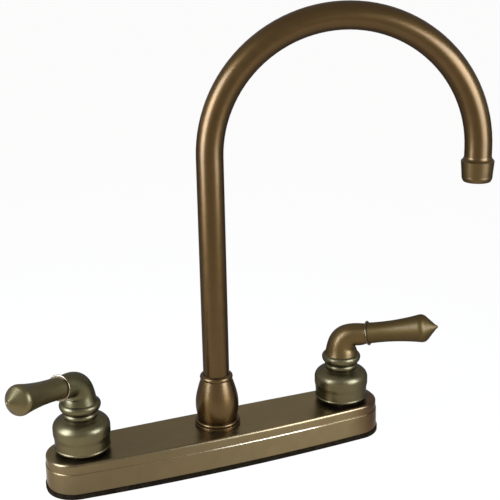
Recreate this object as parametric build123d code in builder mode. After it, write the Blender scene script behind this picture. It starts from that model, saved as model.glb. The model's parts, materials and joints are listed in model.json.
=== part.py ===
from build123d import *
import os
from math import atan2, cos, degrees, radians, sin, tan

# Two handle kitchen faucet: a long deck plate, a high arc spout that swivels in a vase-shaped
# hub, and two teapot handles whose levers open a quarter turn ceramic disc valve each.
#
# Millimetres.  The origin is on the spout's swivel axis, on the face that sits on the deck.
# +X runs along the plate to the cold handle, -Y points at the user and +Z is up.
# The levers and the spout stand at rest where the photographed faucet has them.

os.makedirs("parts", exist_ok=True)

# ---------------------------------------------------------------- driving dimensions
# Fits, all measured on the radius unless a name says otherwise
FIT = 0.05                      # pressed, bonded or dropped in place
THREAD_FIT = 0.10               # between a plain thread and its nut
RUNNING_FIT = 0.06              # a shaft that turns in its bore
SWIVEL_CLEARANCE = 0.25         # between a turning piece and a fixed one that don't bear
FACE_GAP = 0.05                 # between two flat faces that slide on each other
GROOVE_ROOM = 1.3               # width of an O-ring's groove over the ring's own section

# Deck plate
HANDLE_CENTRES = 203.2          # eight inches between the two handle axes
GASKET_THICKNESS = 3.2
GASKET_OVERHANG = 0.7           # the gasket shows all round the plate by this much
PLATE_TOP = 25.7                # the plate's top face above the deck
PLATE_OVERHANG = 27.0           # handle axis to the end of the plate
PLATE_FRONT = 26.9              # swivel axis to the front edge, at the middle
PLATE_FRONT_BOW = 5.65          # how far the front edge falls back by the ends
PLATE_BACK = 21.6               # swivel axis to the back edge, at the middle
PLATE_BACK_BOW = 0.95
PLATE_END_FLAT = 1.0            # straight left between the two rounded corners of an end
PLATE_WALL = 2.2
PLATE_DRAFT = 0.8               # degrees
PLATE_LEDGE_HEIGHT = 18.4       # above the deck, where the wall steps in
PLATE_LEDGE_DEPTH = 0.4
PLATE_LEDGE_FILLET = 0.3
PLATE_EDGE_FILLET = 1.8
PLATE_HOLE_CLEARANCE = 0.3

# Valve body with its threaded shank
SHANK_DIAMETER = 20.9           # half inch straight pipe thread, across its crests
SHANK_BORE = 12.7
SHANK_LENGTH = 50.0             # below the deck seat
SHANK_CHAMFER = 1.0
COUPLING_THREAD_LENGTH = 15.0   # free thread that takes the supply hose's nut
THREAD_RELIEF_WIDTH = 2.0
THREAD_RELIEF_DEPTH = 1.2
GASKET_HOLE_CLEARANCE = 1.0
BARREL_DIAMETER = 27.0
NECK_DIAMETER = 24.0
NECK_RISE = 10.3                # neck above the plate's top face
CAVITY_DIAMETER = 18.0

# Water tubes between the valve bodies and the spout body
WATERWAY_DIAMETER = 9.5
WATERWAY_WALL = 0.95
WATERWAY_DROP = 5.5             # its axis below the ceiling of the plate
SOCKET_DEPTH = 3.0

# Nuts
PLATE_NUT_ACROSS_CORNERS = 31.2
PLATE_NUT_HEIGHT = 3.6
BONNET_NUT_ACROSS_CORNERS = 30.0
BONNET_NUT_SKIRT = 6.8
BONNET_NUT_TOP = 2.3
DECK_ALLOWANCE = 12.0           # room left under the gasket for the deck
MOUNTING_WASHER_DIAMETER = 36.0
MOUNTING_WASHER_THICKNESS = 1.6
MOUNTING_NUT_ACROSS_CORNERS = 34.0
MOUNTING_NUT_HEIGHT = 9.0
MOUNTING_NUT_FLANGE = 2.0

# Ceramic disc cartridge
SEAL_THICKNESS = 2.0
SEAL_BORE = 10.0
DISC_THICKNESS = 2.2
DISC_PORT_RADIUS = 4.1          # middle of the kidney-shaped ports
DISC_PORT_WIDTH = 3.2
DISC_PORT_SWEEP = 50.0          # degrees, between the centres of its rounded ends
CARTRIDGE_WALL = 0.8
CARTRIDGE_FLANGE_DIAMETER = 22.8
CARTRIDGE_FLANGE_THICKNESS = 1.6
CARTRIDGE_NECK_DIAMETER = 13.0
WINDOW_DIAMETER = 6.6
WINDOW_MARGIN = 0.25            # between the window and the disc below it
DRIVER_HEIGHT = 7.3
DRIVER_CHANNEL_WIDTH = 8.0
DRIVER_CHANNEL_HEIGHT = 5.0
DRIVE_LUG_WIDTH = 3.0
DRIVE_LUG_REACH = 1.4
DRIVE_LUG_DROP = 1.2
STEM_DIAMETER = 8.0
STEM_RING_SECTION = 1.2
STEM_RING_HEIGHTS = (9.0, 13.0)  # above the ceiling of the cartridge's chamber
SPLINE_TEETH = 12
SPLINE_ROOT_DIAMETER = 6.6
SPLINE_TOOTH_HEIGHT = 0.55
SPLINE_TOOTH_WIDTH = 0.8

# Bell of the handle: heights are steps up from its lip, radii are its outline's
BELL_GAP = 2.5                  # air between the plate and the lip
BELL_WALL = 1.9
LIP_FOOT_RADIUS = 18.9
LIP_RADIUS = 19.7
LIP_HEIGHT = 2.0
SKIRT_FOOT_RADIUS = 19.35
SKIRT_TOP_RADIUS = 19.5
SKIRT_HEIGHT = 5.3
SWELL_HEIGHT = 4.7
BELLY_RADIUS = 20.2
BELLY_HEIGHT = 3.4
SHOULDER_HEIGHT = 7.2
SHOULDER_TOP_RADIUS = 13.7
SHOULDER_TOP_TANGENT = (-1, 0.3)
SHOULDER_MID_RADIUS = 18.4
SHOULDER_MID_HEIGHT = 4.6
NECK_CLIMB = 1.1                # how far the top of the bell climbs in to the neck
NECK_RADIUS = 11.4
NECK_BEAD_RADIUS = 12.4
NECK_BEAD_HEIGHT = 3.9
COLLAR_RADIUS = 14.6
COLLAR_FLARE_HEIGHT = 4.6
COLLAR_FLARE_MID_RADIUS = 13.7
COLLAR_FLARE_MID_SHARE = 0.42   # height, as a share of the flare's, where it has that radius
COLLAR_TOP_RADIUS = 12.7
COLLAR_TOP_HEIGHT = 2.8
COLLAR_TOP_SWELL = 0.68         # share of that height gained in the first third of the way in
BOSS_RADIUS = 7.5
BOSS_GAP = 1.2                  # between the boss and the bonnet nut below it
BELL_CEILING_DROP = 4.8         # the ceiling of the bell below the top of its shoulder
STEM_HEADROOM = 0.3
SPIGOT_LENGTH = 4.2
SPIGOT_RADIUS = 7.0
SPIGOT_FLOOR = 1.4              # metal between the stem's socket and the elbow's

# Lever
HOT_LEVER_FORWARD = 39.0        # degrees forward of straight out, at rest
COLD_LEVER_FORWARD = 40.0
LEVER_TRAVEL = 90.0             # straight out is shut, pointing at the user is open
LEVER_TILT = 11.4               # degrees above level
ELBOW_FOOT_RADIUS = 12.5
ELBOW_START_RADIUS = 11.4
ELBOW_BEND_END_RADIUS = 8.5
ELBOW_TIP_RADIUS = 7.4
ELBOW_RISE = 13.85              # from its foot to where the two straight axes cross
ELBOW_BEND_RADIUS = 12.0
ELBOW_BEND_STEPS = 3
LEVER_REACH = 21.0              # from that crossing to the ring, along the lever
RING_RADIUS = 9.3
RING_EDGE_RADIUS = 8.6
RING_THICKNESS = 1.2
STUD_RADIUS = 3.0
STUD_LENGTH = 9.0
GRIP_START_RADIUS = 7.9
GRIP_MID_RADIUS = 8.25
GRIP_MID_LENGTH = 22.8
GRIP_BULGE_RADIUS = 10.3
GRIP_FLARE_LENGTH = 16.3        # from the middle to the bulge
GRIP_CHEEK_RADIUS = 5.5         # rounding between the flare and the cone
GRIP_CONE_ANGLE = 46.0          # degrees, half the point's angle
GRIP_NUB_RADIUS = 1.3           # the round nub at the very tip
SET_SCREW_DIAMETER = 3.0
SET_SCREW_LENGTH = 5.2
SET_SCREW_SOCKET = 1.75         # across its corners
SET_SCREW_SOCKET_DEPTH = 2.0

# Spout
SPOUT_AZIMUTH = -17.9           # degrees from +X, where it stands at rest
SPOUT_TUBE_DIAMETER = 19.05     # three quarters of an inch
SPOUT_TUBE_WALL = 1.0
SPOUT_ARC_RADIUS = 93.3
SPOUT_ARC_CENTRE_HEIGHT = 225.0
SPOUT_TAIL = 5.4                # straight after the arc

# Spout body, and the plug that turns in it
SPOUT_BARREL_DIAMETER = 24.0
SPOUT_CHAMBER_DIAMETER = 13.0
SPOUT_BODY_FLOOR = 3.0
POST_DIAMETER = 22.0
POST_RISE = 18.3                # post above the plate's top face
POST_BORE_DIAMETER = 16.4
POST_BORE_DEPTH = 21.5
PLUG_BORE = 10.0
PLUG_FLANGE_DIAMETER = 21.2
PLUG_FLANGE_THICKNESS = 2.8
PLUG_SPIGOT_LENGTH = 10.0
PLUG_END_GAP = 0.6
PLUG_RING_SECTION = 1.6
PLUG_RING_DROPS = (7.5, 14.0)   # below the top of the post
THRUST_WASHER_THICKNESS = 1.0
RETAINING_RING_THICKNESS = 1.4
RETAINING_RING_SPLIT = 3.0

# Trim ring and vase-shaped hub: heights are steps up, radii are the outline's
TRIM_BASE_RADIUS = 16.1
TRIM_BASE_HEIGHT = 0.9
TRIM_FLANGE_RADIUS = 16.7
TRIM_FLANGE_HEIGHT = 1.0
TRIM_FLANGE_FILLET = 0.4
HUB_BEAD_RADIUS = 16.2
HUB_BEAD_FOOT_RADIUS = 15.4
HUB_BEAD_HEIGHT = 2.4
HUB_FOOT_RADIUS = 14.0
HUB_FOOT_STEP = 0.3
HUB_BELLY_RADIUS = 15.65
HUB_BELLY_HEIGHT = 8.3
HUB_SHOULDER_RADIUS = 14.8
HUB_SHOULDER_HEIGHT = 11.3
HUB_WAIST_RADIUS = 13.3
HUB_WAIST_HEIGHT = 5.6
HUB_NECK_RADIUS = 11.4
HUB_NECK_HEIGHT = 5.9
HUB_LIP_RADIUS = 12.0
HUB_LIP_HEIGHT = 3.0
HUB_LIP_EDGE_RADIUS = 11.2
HUB_MOUTH_HEIGHT = 0.7

# Outlet collar and aerator
COLLAR_FLARE_LENGTH = 2.8
COLLAR_FLARE_SHARE = 0.3        # of its widening, reached halfway down the flare
OUTLET_COLLAR_RADIUS = 11.25
OUTLET_THREAD_RADIUS = 9.95
OUTLET_THREAD_LENGTH = 6.8
OUTLET_BORE = 15.0
OUTLET_SPIGOT_LENGTH = 5.0
AERATOR_TOP_RADIUS = 11.6
AERATOR_TOP_CHAMFER = 0.4
AERATOR_WAIST_RADIUS = 10.7
AERATOR_NOSE_HEIGHT = 4.0
AERATOR_NOSE_RADIUS = 9.5
AERATOR_NOSE_BEND = 0.35        # height, as a share of the nose's, where it is a third of the way in
AERATOR_LIP_THICKNESS = 1.0
AERATOR_MOUTH = 17.0
AERATOR_CUP_WALL = 1.1
AERATOR_WASHER_THICKNESS = 1.5
INSERT_FLANGE_THICKNESS = 1.0
INSERT_HEIGHT = 4.1             # below its flange
INSERT_LEDGE = 0.7              # how far the flange overhangs the insert's wall
INSERT_DECK_THICKNESS = 1.4
INSERT_JETS = 8
INSERT_JET_DIAMETER = 1.6
INSERT_JET_RADIUS = 5.6
SCREEN_THICKNESS = 0.5
SCREEN_PITCH = 2.3
SCREEN_HOLE = 1.5
SCREEN_ROWS = 5

# ---------------------------------------------------------------- places worked out from them
HALF_CENTRES = HANDLE_CENTRES / 2
PLATE_HALF_LENGTH = HALF_CENTRES + PLATE_OVERHANG
PLATE_CEILING = PLATE_TOP - PLATE_WALL
WATERWAY_HEIGHT = PLATE_CEILING - WATERWAY_DROP
NECK_TOP = PLATE_TOP + NECK_RISE

CHAMBER_FLOOR = WATERWAY_HEIGHT - WINDOW_DIAMETER / 2 - WINDOW_MARGIN
DRIVER_TOP = CHAMBER_FLOOR + DRIVER_HEIGHT
CHAMBER_CEILING = DRIVER_TOP + SWIVEL_CLEARANCE
TURNING_DISC_FLOOR = CHAMBER_FLOOR - DISC_THICKNESS
FIXED_DISC_FLOOR = TURNING_DISC_FLOOR - FACE_GAP - DISC_THICKNESS
CAVITY_FLOOR = FIXED_DISC_FLOOR - SEAL_THICKNESS
CARTRIDGE_RADIUS = CAVITY_DIAMETER / 2 - FIT
CHAMBER_RADIUS = CARTRIDGE_RADIUS - CARTRIDGE_WALL
DRIVER_RADIUS = CHAMBER_RADIUS - SWIVEL_CLEARANCE
CARTRIDGE_FLANGE_TOP = NECK_TOP + CARTRIDGE_FLANGE_THICKNESS
BONNET_NUT_TOP_HEIGHT = CARTRIDGE_FLANGE_TOP + BONNET_NUT_TOP
STEM_RADIUS = STEM_DIAMETER / 2

BELL_LIP = PLATE_TOP + BELL_GAP
SHOULDER_TOP = BELL_LIP + LIP_HEIGHT + SKIRT_HEIGHT + SWELL_HEIGHT + BELLY_HEIGHT + SHOULDER_HEIGHT
NECK_FOOT = SHOULDER_TOP + NECK_CLIMB
COLLAR_FOOT = NECK_FOOT + NECK_BEAD_HEIGHT
COLLAR_EDGE = COLLAR_FOOT + COLLAR_FLARE_HEIGHT
BELL_TOP = COLLAR_EDGE + COLLAR_TOP_HEIGHT
BELL_CEILING = SHOULDER_TOP - BELL_CEILING_DROP
BELL_BORE_RADIUS = LIP_FOOT_RADIUS - BELL_WALL
SPIGOT_FOOT = BELL_TOP - SPIGOT_LENGTH
SOCKET_TOP = SPIGOT_FOOT - SPIGOT_FLOOR
STEM_TOP = SOCKET_TOP - STEM_HEADROOM
BOSS_FOOT = BONNET_NUT_TOP_HEIGHT + BOSS_GAP
SET_SCREW_HEIGHT = NECK_FOOT + NECK_BEAD_HEIGHT / 2

POST_TOP = PLATE_TOP + POST_RISE
PLUG_FLANGE_FLOOR = POST_TOP + THRUST_WASHER_THICKNESS + FACE_GAP
PLUG_FLANGE_TOP = PLUG_FLANGE_FLOOR + PLUG_FLANGE_THICKNESS
RETAINING_RING_FLOOR = PLUG_FLANGE_TOP + FACE_GAP
RETAINING_RING_TOP = RETAINING_RING_FLOOR + RETAINING_RING_THICKNESS
PLUG_RADIUS = POST_BORE_DIAMETER / 2 - RUNNING_FIT
HUB_FLOOR = PLATE_TOP + TRIM_BASE_HEIGHT + TRIM_FLANGE_HEIGHT
HUB_BORE_RADIUS = POST_DIAMETER / 2 + THREAD_FIT
SPOUT_TUBE_RADIUS = SPOUT_TUBE_DIAMETER / 2
SPOUT_TUBE_BORE_RADIUS = SPOUT_TUBE_RADIUS - SPOUT_TUBE_WALL
SPOUT_REACH = 2 * SPOUT_ARC_RADIUS
SPOUT_END_HEIGHT = SPOUT_ARC_CENTRE_HEIGHT - SPOUT_TAIL

COLLAR_FACE = SPOUT_END_HEIGHT - COLLAR_FLARE_LENGTH
COLLAR_END = COLLAR_FACE - OUTLET_THREAD_LENGTH
INSERT_FLANGE_TOP = COLLAR_END - AERATOR_WASHER_THICKNESS
INSERT_LEDGE_HEIGHT = INSERT_FLANGE_TOP - INSERT_FLANGE_THICKNESS
INSERT_FLOOR = INSERT_LEDGE_HEIGHT - INSERT_HEIGHT
SCREEN_FLOOR = INSERT_FLOOR - SCREEN_THICKNESS
AERATOR_FLOOR = SCREEN_FLOOR - AERATOR_LIP_THICKNESS
AERATOR_BORE_RADIUS = OUTLET_THREAD_RADIUS + THREAD_FIT
INSERT_RADIUS = AERATOR_BORE_RADIUS - INSERT_LEDGE


# ---------------------------------------------------------------- helpers
def upright(x, y=0.0, azimuth=0.0):
    """Vertical plane through (x, y): its own x runs outwards at the azimuth, its own y runs up."""
    turn = radians(azimuth)
    return Plane(origin=(x, y, 0), x_dir=(cos(turn), sin(turn), 0), z_dir=(sin(turn), -cos(turn), 0))


def level(x, y, height, azimuth=0.0):
    """Level plane at a height over (x, y): its own x points at the azimuth."""
    turn = radians(azimuth)
    return Plane(origin=(x, y, height), x_dir=(cos(turn), sin(turn), 0), z_dir=(0, 0, 1))


def centre_line(plane):
    """The axis that the plane's own y direction gives, through its origin."""
    return Axis(plane.origin, plane.y_dir)


def turn_rings(plane, rings):
    """Turn a stack of plain rings, each (inner radius, outer radius, floor, top), about the plane's y."""
    with BuildSketch(plane) as half_section:
        for inner, outer, floor, top in rings:
            with Locations(((inner + outer) / 2, (floor + top) / 2)):
                Rectangle(outer - inner, top - floor)
    revolve(half_section.sketch, axis=centre_line(plane))


def save(piece, label):
    """Name a finished piece and write it to its own file."""
    piece.part.label = label
    export_step(piece.part, f"parts/{label}.step")


# ---------------------------------------------------------------- deck plate
def plate_outline(inset):
    """Draw the plate's plan: bowed front and back edges, fully rounded ends."""
    half = PLATE_HALF_LENGTH - inset
    front_end = -(PLATE_FRONT - PLATE_FRONT_BOW - inset)
    back_end = PLATE_BACK - PLATE_BACK_BOW - inset
    corner_radius = (back_end - front_end - PLATE_END_FLAT) / 2
    with BuildLine() as edge:
        ThreePointArc((-half, front_end), (0, front_end - PLATE_FRONT_BOW), (half, front_end))
        Line((half, front_end), (half, back_end))
        ThreePointArc((half, back_end), (0, back_end + PLATE_BACK_BOW), (-half, back_end))
        Line((-half, back_end), (-half, front_end))
    outline = make_face(edge.edges())
    fillet(outline.vertices(), corner_radius)


def drafted_block(inset, floor, top, mode):
    """Raise the plate's plan from one height to another, drawing in at the draft angle."""
    with BuildSketch(Plane.XY.offset(floor)) as foot:
        plate_outline(inset)
    with BuildSketch(Plane.XY.offset(top)) as head:
        plate_outline(inset + (top - floor) * tan(radians(PLATE_DRAFT)))
    loft([foot.sketch, head.sketch], ruled=True, mode=mode)


with BuildPart() as deck_plate:
    step_inset = (PLATE_LEDGE_HEIGHT - GASKET_THICKNESS) * tan(radians(PLATE_DRAFT))
    drafted_block(0, GASKET_THICKNESS, PLATE_LEDGE_HEIGHT, Mode.ADD)
    fillet(deck_plate.faces().sort_by(Axis.Z)[-1].edges(), PLATE_LEDGE_FILLET)
    drafted_block(step_inset + PLATE_LEDGE_DEPTH, PLATE_LEDGE_HEIGHT, PLATE_TOP, Mode.ADD)
    fillet(deck_plate.faces().sort_by(Axis.Z)[-1].edges(), PLATE_EDGE_FILLET)
    drafted_block(PLATE_WALL, GASKET_THICKNESS, PLATE_CEILING, Mode.SUBTRACT)
    with Locations((-HALF_CENTRES, 0, PLATE_TOP), (HALF_CENTRES, 0, PLATE_TOP)):
        Hole(NECK_DIAMETER / 2 + PLATE_HOLE_CLEARANCE)
    with Locations((0, 0, PLATE_TOP)):
        Hole(POST_DIAMETER / 2 + PLATE_HOLE_CLEARANCE)
save(deck_plate, "deck_plate")

with BuildPart() as deck_gasket:
    with BuildSketch():
        plate_outline(-GASKET_OVERHANG)
        with Locations((-HALF_CENTRES, 0), (HALF_CENTRES, 0)):
            Circle(SHANK_DIAMETER / 2 + GASKET_HOLE_CLEARANCE, mode=Mode.SUBTRACT)
    extrude(amount=GASKET_THICKNESS)
save(deck_gasket, "deck_gasket")


# ---------------------------------------------------------------- spout body, hub and their rings
centre = upright(0)

with BuildPart() as spout_body:
    chamber_floor = WATERWAY_HEIGHT - SPOUT_CHAMBER_DIAMETER / 2
    barrel_floor = chamber_floor - SPOUT_BODY_FLOOR
    post_bore_floor = POST_TOP - POST_BORE_DEPTH
    with BuildSketch(centre):
        with BuildLine():
            Polyline(
                (0, barrel_floor),
                (SPOUT_BARREL_DIAMETER / 2, barrel_floor),
                (SPOUT_BARREL_DIAMETER / 2, PLATE_CEILING),
                (POST_DIAMETER / 2, PLATE_CEILING),
                (POST_DIAMETER / 2, POST_TOP),
                (POST_BORE_DIAMETER / 2, POST_TOP),
                (POST_BORE_DIAMETER / 2, post_bore_floor),
                (SPOUT_CHAMBER_DIAMETER / 2, post_bore_floor),
                (SPOUT_CHAMBER_DIAMETER / 2, chamber_floor),
                (0, chamber_floor),
                close=True,
            )
        make_face()
    revolve(axis=Axis.Z)
    for side in (-1, 1):
        port_plane = Plane(origin=(0, 0, WATERWAY_HEIGHT), z_dir=(side, 0, 0))
        socket_plane = port_plane.offset(SPOUT_BARREL_DIAMETER / 2 - SOCKET_DEPTH)
        with BuildSketch(port_plane):
            Circle(WATERWAY_DIAMETER / 2 - WATERWAY_WALL)
        extrude(amount=SPOUT_BARREL_DIAMETER / 2, mode=Mode.SUBTRACT)
        with BuildSketch(socket_plane):
            Circle(WATERWAY_DIAMETER / 2 + FIT)
        extrude(amount=SOCKET_DEPTH, mode=Mode.SUBTRACT)
save(spout_body, "spout_body")

with BuildPart() as spout_trim_ring:
    trim_bore = POST_DIAMETER / 2 + PLATE_HOLE_CLEARANCE
    flange_floor = PLATE_TOP + TRIM_BASE_HEIGHT
    turn_rings(
        centre,
        [
            (trim_bore, TRIM_BASE_RADIUS, PLATE_TOP, flange_floor),
            (trim_bore, TRIM_FLANGE_RADIUS, flange_floor, HUB_FLOOR),
        ],
    )
    flange_edges = spout_trim_ring.edges().filter_by(GeomType.CIRCLE).group_by(SortBy.RADIUS)[-1]
    fillet(flange_edges, TRIM_FLANGE_FILLET)
save(spout_trim_ring, "spout_trim_ring")

with BuildPart() as spout_hub:
    hub_foot = HUB_FLOOR + HUB_BEAD_HEIGHT
    belly_foot = hub_foot + HUB_FOOT_STEP
    belly = belly_foot + HUB_BELLY_HEIGHT
    shoulder = belly + HUB_SHOULDER_HEIGHT
    waist = shoulder + HUB_WAIST_HEIGHT
    neck = waist + HUB_NECK_HEIGHT
    lip_top = neck + HUB_LIP_HEIGHT
    mouth_radius = SPOUT_TUBE_RADIUS + SWIVEL_CLEARANCE
    with BuildSketch(centre):
        with BuildLine():
            Line((HUB_BORE_RADIUS, HUB_FLOOR), (HUB_BEAD_FOOT_RADIUS, HUB_FLOOR))
            ThreePointArc(
                (HUB_BEAD_FOOT_RADIUS, HUB_FLOOR),
                (HUB_BEAD_RADIUS, HUB_FLOOR + HUB_BEAD_HEIGHT / 2),
                (HUB_BEAD_FOOT_RADIUS, hub_foot),
            )
            Polyline(
                (HUB_BEAD_FOOT_RADIUS, hub_foot),
                (HUB_FOOT_RADIUS, hub_foot),
                (HUB_FOOT_RADIUS, belly_foot),
            )
            ThreePointArc(
                (HUB_FOOT_RADIUS, belly_foot), (HUB_BELLY_RADIUS, belly), (HUB_SHOULDER_RADIUS, shoulder)
            )
            ThreePointArc(
                (HUB_SHOULDER_RADIUS, shoulder), (HUB_WAIST_RADIUS, waist), (HUB_NECK_RADIUS, neck)
            )
            ThreePointArc(
                (HUB_NECK_RADIUS, neck),
                (HUB_LIP_RADIUS, neck + HUB_LIP_HEIGHT / 2),
                (HUB_LIP_EDGE_RADIUS, lip_top),
            )
            Polyline(
                (HUB_LIP_EDGE_RADIUS, lip_top),
                (mouth_radius, lip_top + HUB_MOUTH_HEIGHT),
                (mouth_radius, RETAINING_RING_TOP),
                (HUB_BORE_RADIUS, RETAINING_RING_TOP),
                (HUB_BORE_RADIUS, HUB_FLOOR),
            )
        make_face()
    revolve(axis=Axis.Z)
save(spout_hub, "spout_hub")

with BuildPart() as spout_thrust_washer:
    turn_rings(centre, [(PLUG_RADIUS + SWIVEL_CLEARANCE, POST_DIAMETER / 2, POST_TOP,
                         POST_TOP + THRUST_WASHER_THICKNESS)])
save(spout_thrust_washer, "spout_thrust_washer")

with BuildPart() as spout_retaining_ring:
    ring_bore = SPOUT_TUBE_RADIUS + SWIVEL_CLEARANCE
    ring_radius = HUB_BORE_RADIUS - FIT
    turn_rings(centre, [(ring_bore, ring_radius, RETAINING_RING_FLOOR, RETAINING_RING_TOP)])
    with BuildSketch(Plane.XY.offset(RETAINING_RING_FLOOR)):
        with Locations((0, -ring_radius)):
            Rectangle(RETAINING_RING_SPLIT, ring_radius)
    extrude(amount=RETAINING_RING_THICKNESS, mode=Mode.SUBTRACT)
save(spout_retaining_ring, "spout_retaining_ring")


# ---------------------------------------------------------------- spout, its plug and the aerator
spout_plane = upright(0, 0, SPOUT_AZIMUTH)
outlet_x = SPOUT_REACH * cos(radians(SPOUT_AZIMUTH))
outlet_y = SPOUT_REACH * sin(radians(SPOUT_AZIMUTH))
outlet = upright(outlet_x, outlet_y, SPOUT_AZIMUTH)

with BuildPart() as spout_tube:
    with BuildLine(spout_plane) as spout_path:
        riser = Line((0, PLUG_FLANGE_TOP), (0, SPOUT_ARC_CENTRE_HEIGHT))
        arch = ThreePointArc(
            riser @ 1,
            (SPOUT_ARC_RADIUS, SPOUT_ARC_CENTRE_HEIGHT + SPOUT_ARC_RADIUS),
            (SPOUT_REACH, SPOUT_ARC_CENTRE_HEIGHT),
        )
        Line(arch @ 1, (SPOUT_REACH, SPOUT_END_HEIGHT))
    with BuildSketch(level(0, 0, PLUG_FLANGE_TOP)):
        Circle(SPOUT_TUBE_RADIUS)
        Circle(SPOUT_TUBE_BORE_RADIUS, mode=Mode.SUBTRACT)
    sweep(path=spout_path.line)
save(spout_tube, "spout_tube")

ring_groove_radius = PLUG_RADIUS - PLUG_RING_SECTION - FIT

with BuildPart() as spout_plug:
    plug_end = POST_TOP - POST_BORE_DEPTH + PLUG_END_GAP
    spigot_radius = SPOUT_TUBE_BORE_RADIUS - FIT
    turn_rings(
        centre,
        [
            (PLUG_BORE / 2, PLUG_RADIUS, plug_end, PLUG_FLANGE_FLOOR),
            (PLUG_BORE / 2, PLUG_FLANGE_DIAMETER / 2, PLUG_FLANGE_FLOOR, PLUG_FLANGE_TOP),
            (PLUG_BORE / 2, spigot_radius, PLUG_FLANGE_TOP, PLUG_FLANGE_TOP + PLUG_SPIGOT_LENGTH),
        ],
    )
    with BuildSketch(centre):
        for drop in PLUG_RING_DROPS:
            with Locations(((ring_groove_radius + PLUG_RADIUS) / 2, POST_TOP - drop)):
                Rectangle(PLUG_RADIUS - ring_groove_radius, PLUG_RING_SECTION * GROOVE_ROOM)
    revolve(axis=Axis.Z, mode=Mode.SUBTRACT)
save(spout_plug, "spout_plug")

with BuildPart() as spout_orings:
    with BuildSketch(centre):
        for drop in PLUG_RING_DROPS:
            with Locations((ring_groove_radius + PLUG_RING_SECTION / 2, POST_TOP - drop)):
                Circle(PLUG_RING_SECTION / 2)
    revolve(axis=Axis.Z)
save(spout_orings, "spout_orings")

with BuildPart() as outlet_collar:
    collar_bore = OUTLET_BORE / 2
    collar_spigot = SPOUT_TUBE_BORE_RADIUS - FIT
    flare_middle = SPOUT_TUBE_RADIUS + (OUTLET_COLLAR_RADIUS - SPOUT_TUBE_RADIUS) * COLLAR_FLARE_SHARE
    with BuildSketch(outlet):
        with BuildLine():
            Polyline(
                (collar_bore, SPOUT_END_HEIGHT + OUTLET_SPIGOT_LENGTH),
                (collar_spigot, SPOUT_END_HEIGHT + OUTLET_SPIGOT_LENGTH),
                (collar_spigot, SPOUT_END_HEIGHT),
                (SPOUT_TUBE_RADIUS, SPOUT_END_HEIGHT),
            )
            ThreePointArc(
                (SPOUT_TUBE_RADIUS, SPOUT_END_HEIGHT),
                (flare_middle, (SPOUT_END_HEIGHT + COLLAR_FACE) / 2),
                (OUTLET_COLLAR_RADIUS, COLLAR_FACE),
            )
            Polyline(
                (OUTLET_COLLAR_RADIUS, COLLAR_FACE),
                (OUTLET_THREAD_RADIUS, COLLAR_FACE),
                (OUTLET_THREAD_RADIUS, COLLAR_END),
                (collar_bore, COLLAR_END),
                (collar_bore, SPOUT_END_HEIGHT + OUTLET_SPIGOT_LENGTH),
            )
        make_face()
    revolve(axis=centre_line(outlet))
save(outlet_collar, "outlet_collar")

with BuildPart() as aerator_shell:
    nose_top = AERATOR_FLOOR + AERATOR_NOSE_HEIGHT
    nose_middle = (AERATOR_WAIST_RADIUS * 2 + AERATOR_NOSE_RADIUS) / 3
    insert_bore = INSERT_RADIUS + FIT
    with BuildSketch(outlet):
        with BuildLine():
            Polyline(
                (AERATOR_BORE_RADIUS, COLLAR_FACE),
                (AERATOR_TOP_RADIUS - AERATOR_TOP_CHAMFER, COLLAR_FACE),
                (AERATOR_TOP_RADIUS, COLLAR_FACE - AERATOR_TOP_CHAMFER),
                (AERATOR_WAIST_RADIUS, nose_top),
            )
            ThreePointArc(
                (AERATOR_WAIST_RADIUS, nose_top),
                (nose_middle, AERATOR_FLOOR + AERATOR_NOSE_HEIGHT * AERATOR_NOSE_BEND),
                (AERATOR_NOSE_RADIUS, AERATOR_FLOOR),
            )
            Polyline(
                (AERATOR_NOSE_RADIUS, AERATOR_FLOOR),
                (AERATOR_MOUTH / 2, AERATOR_FLOOR),
                (AERATOR_MOUTH / 2, SCREEN_FLOOR),
                (insert_bore, SCREEN_FLOOR),
                (insert_bore, INSERT_LEDGE_HEIGHT),
                (AERATOR_BORE_RADIUS, INSERT_LEDGE_HEIGHT),
                (AERATOR_BORE_RADIUS, COLLAR_FACE),
            )
        make_face()
    revolve(axis=centre_line(outlet))
save(aerator_shell, "aerator_shell")

with BuildPart() as aerator_washer:
    turn_rings(outlet, [(OUTLET_BORE / 2, AERATOR_BORE_RADIUS - FIT, INSERT_FLANGE_TOP, COLLAR_END)])
save(aerator_washer, "aerator_washer")

with BuildPart() as aerator_insert:
    cup_bore = INSERT_RADIUS - AERATOR_CUP_WALL
    turn_rings(
        outlet,
        [
            (cup_bore, INSERT_RADIUS, INSERT_FLOOR, INSERT_FLANGE_TOP),
            (cup_bore, AERATOR_BORE_RADIUS - FIT, INSERT_LEDGE_HEIGHT, INSERT_FLANGE_TOP),
        ],
    )
    with BuildSketch(level(outlet_x, outlet_y, INSERT_FLANGE_TOP - INSERT_DECK_THICKNESS)):
        Circle(cup_bore + FIT)
        with PolarLocations(INSERT_JET_RADIUS, INSERT_JETS):
            RegularPolygon(INSERT_JET_DIAMETER / 2, 6, mode=Mode.SUBTRACT)
    extrude(amount=INSERT_DECK_THICKNESS)
save(aerator_insert, "aerator_insert")

with BuildPart() as aerator_screen:
    with BuildSketch(level(outlet_x, outlet_y, SCREEN_FLOOR, SPOUT_AZIMUTH)):
        Circle(INSERT_RADIUS)
        with GridLocations(SCREEN_PITCH, SCREEN_PITCH, SCREEN_ROWS, SCREEN_ROWS):
            Rectangle(SCREEN_HOLE, SCREEN_HOLE, mode=Mode.SUBTRACT)
    extrude(amount=SCREEN_THICKNESS)
save(aerator_screen, "aerator_screen")


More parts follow.
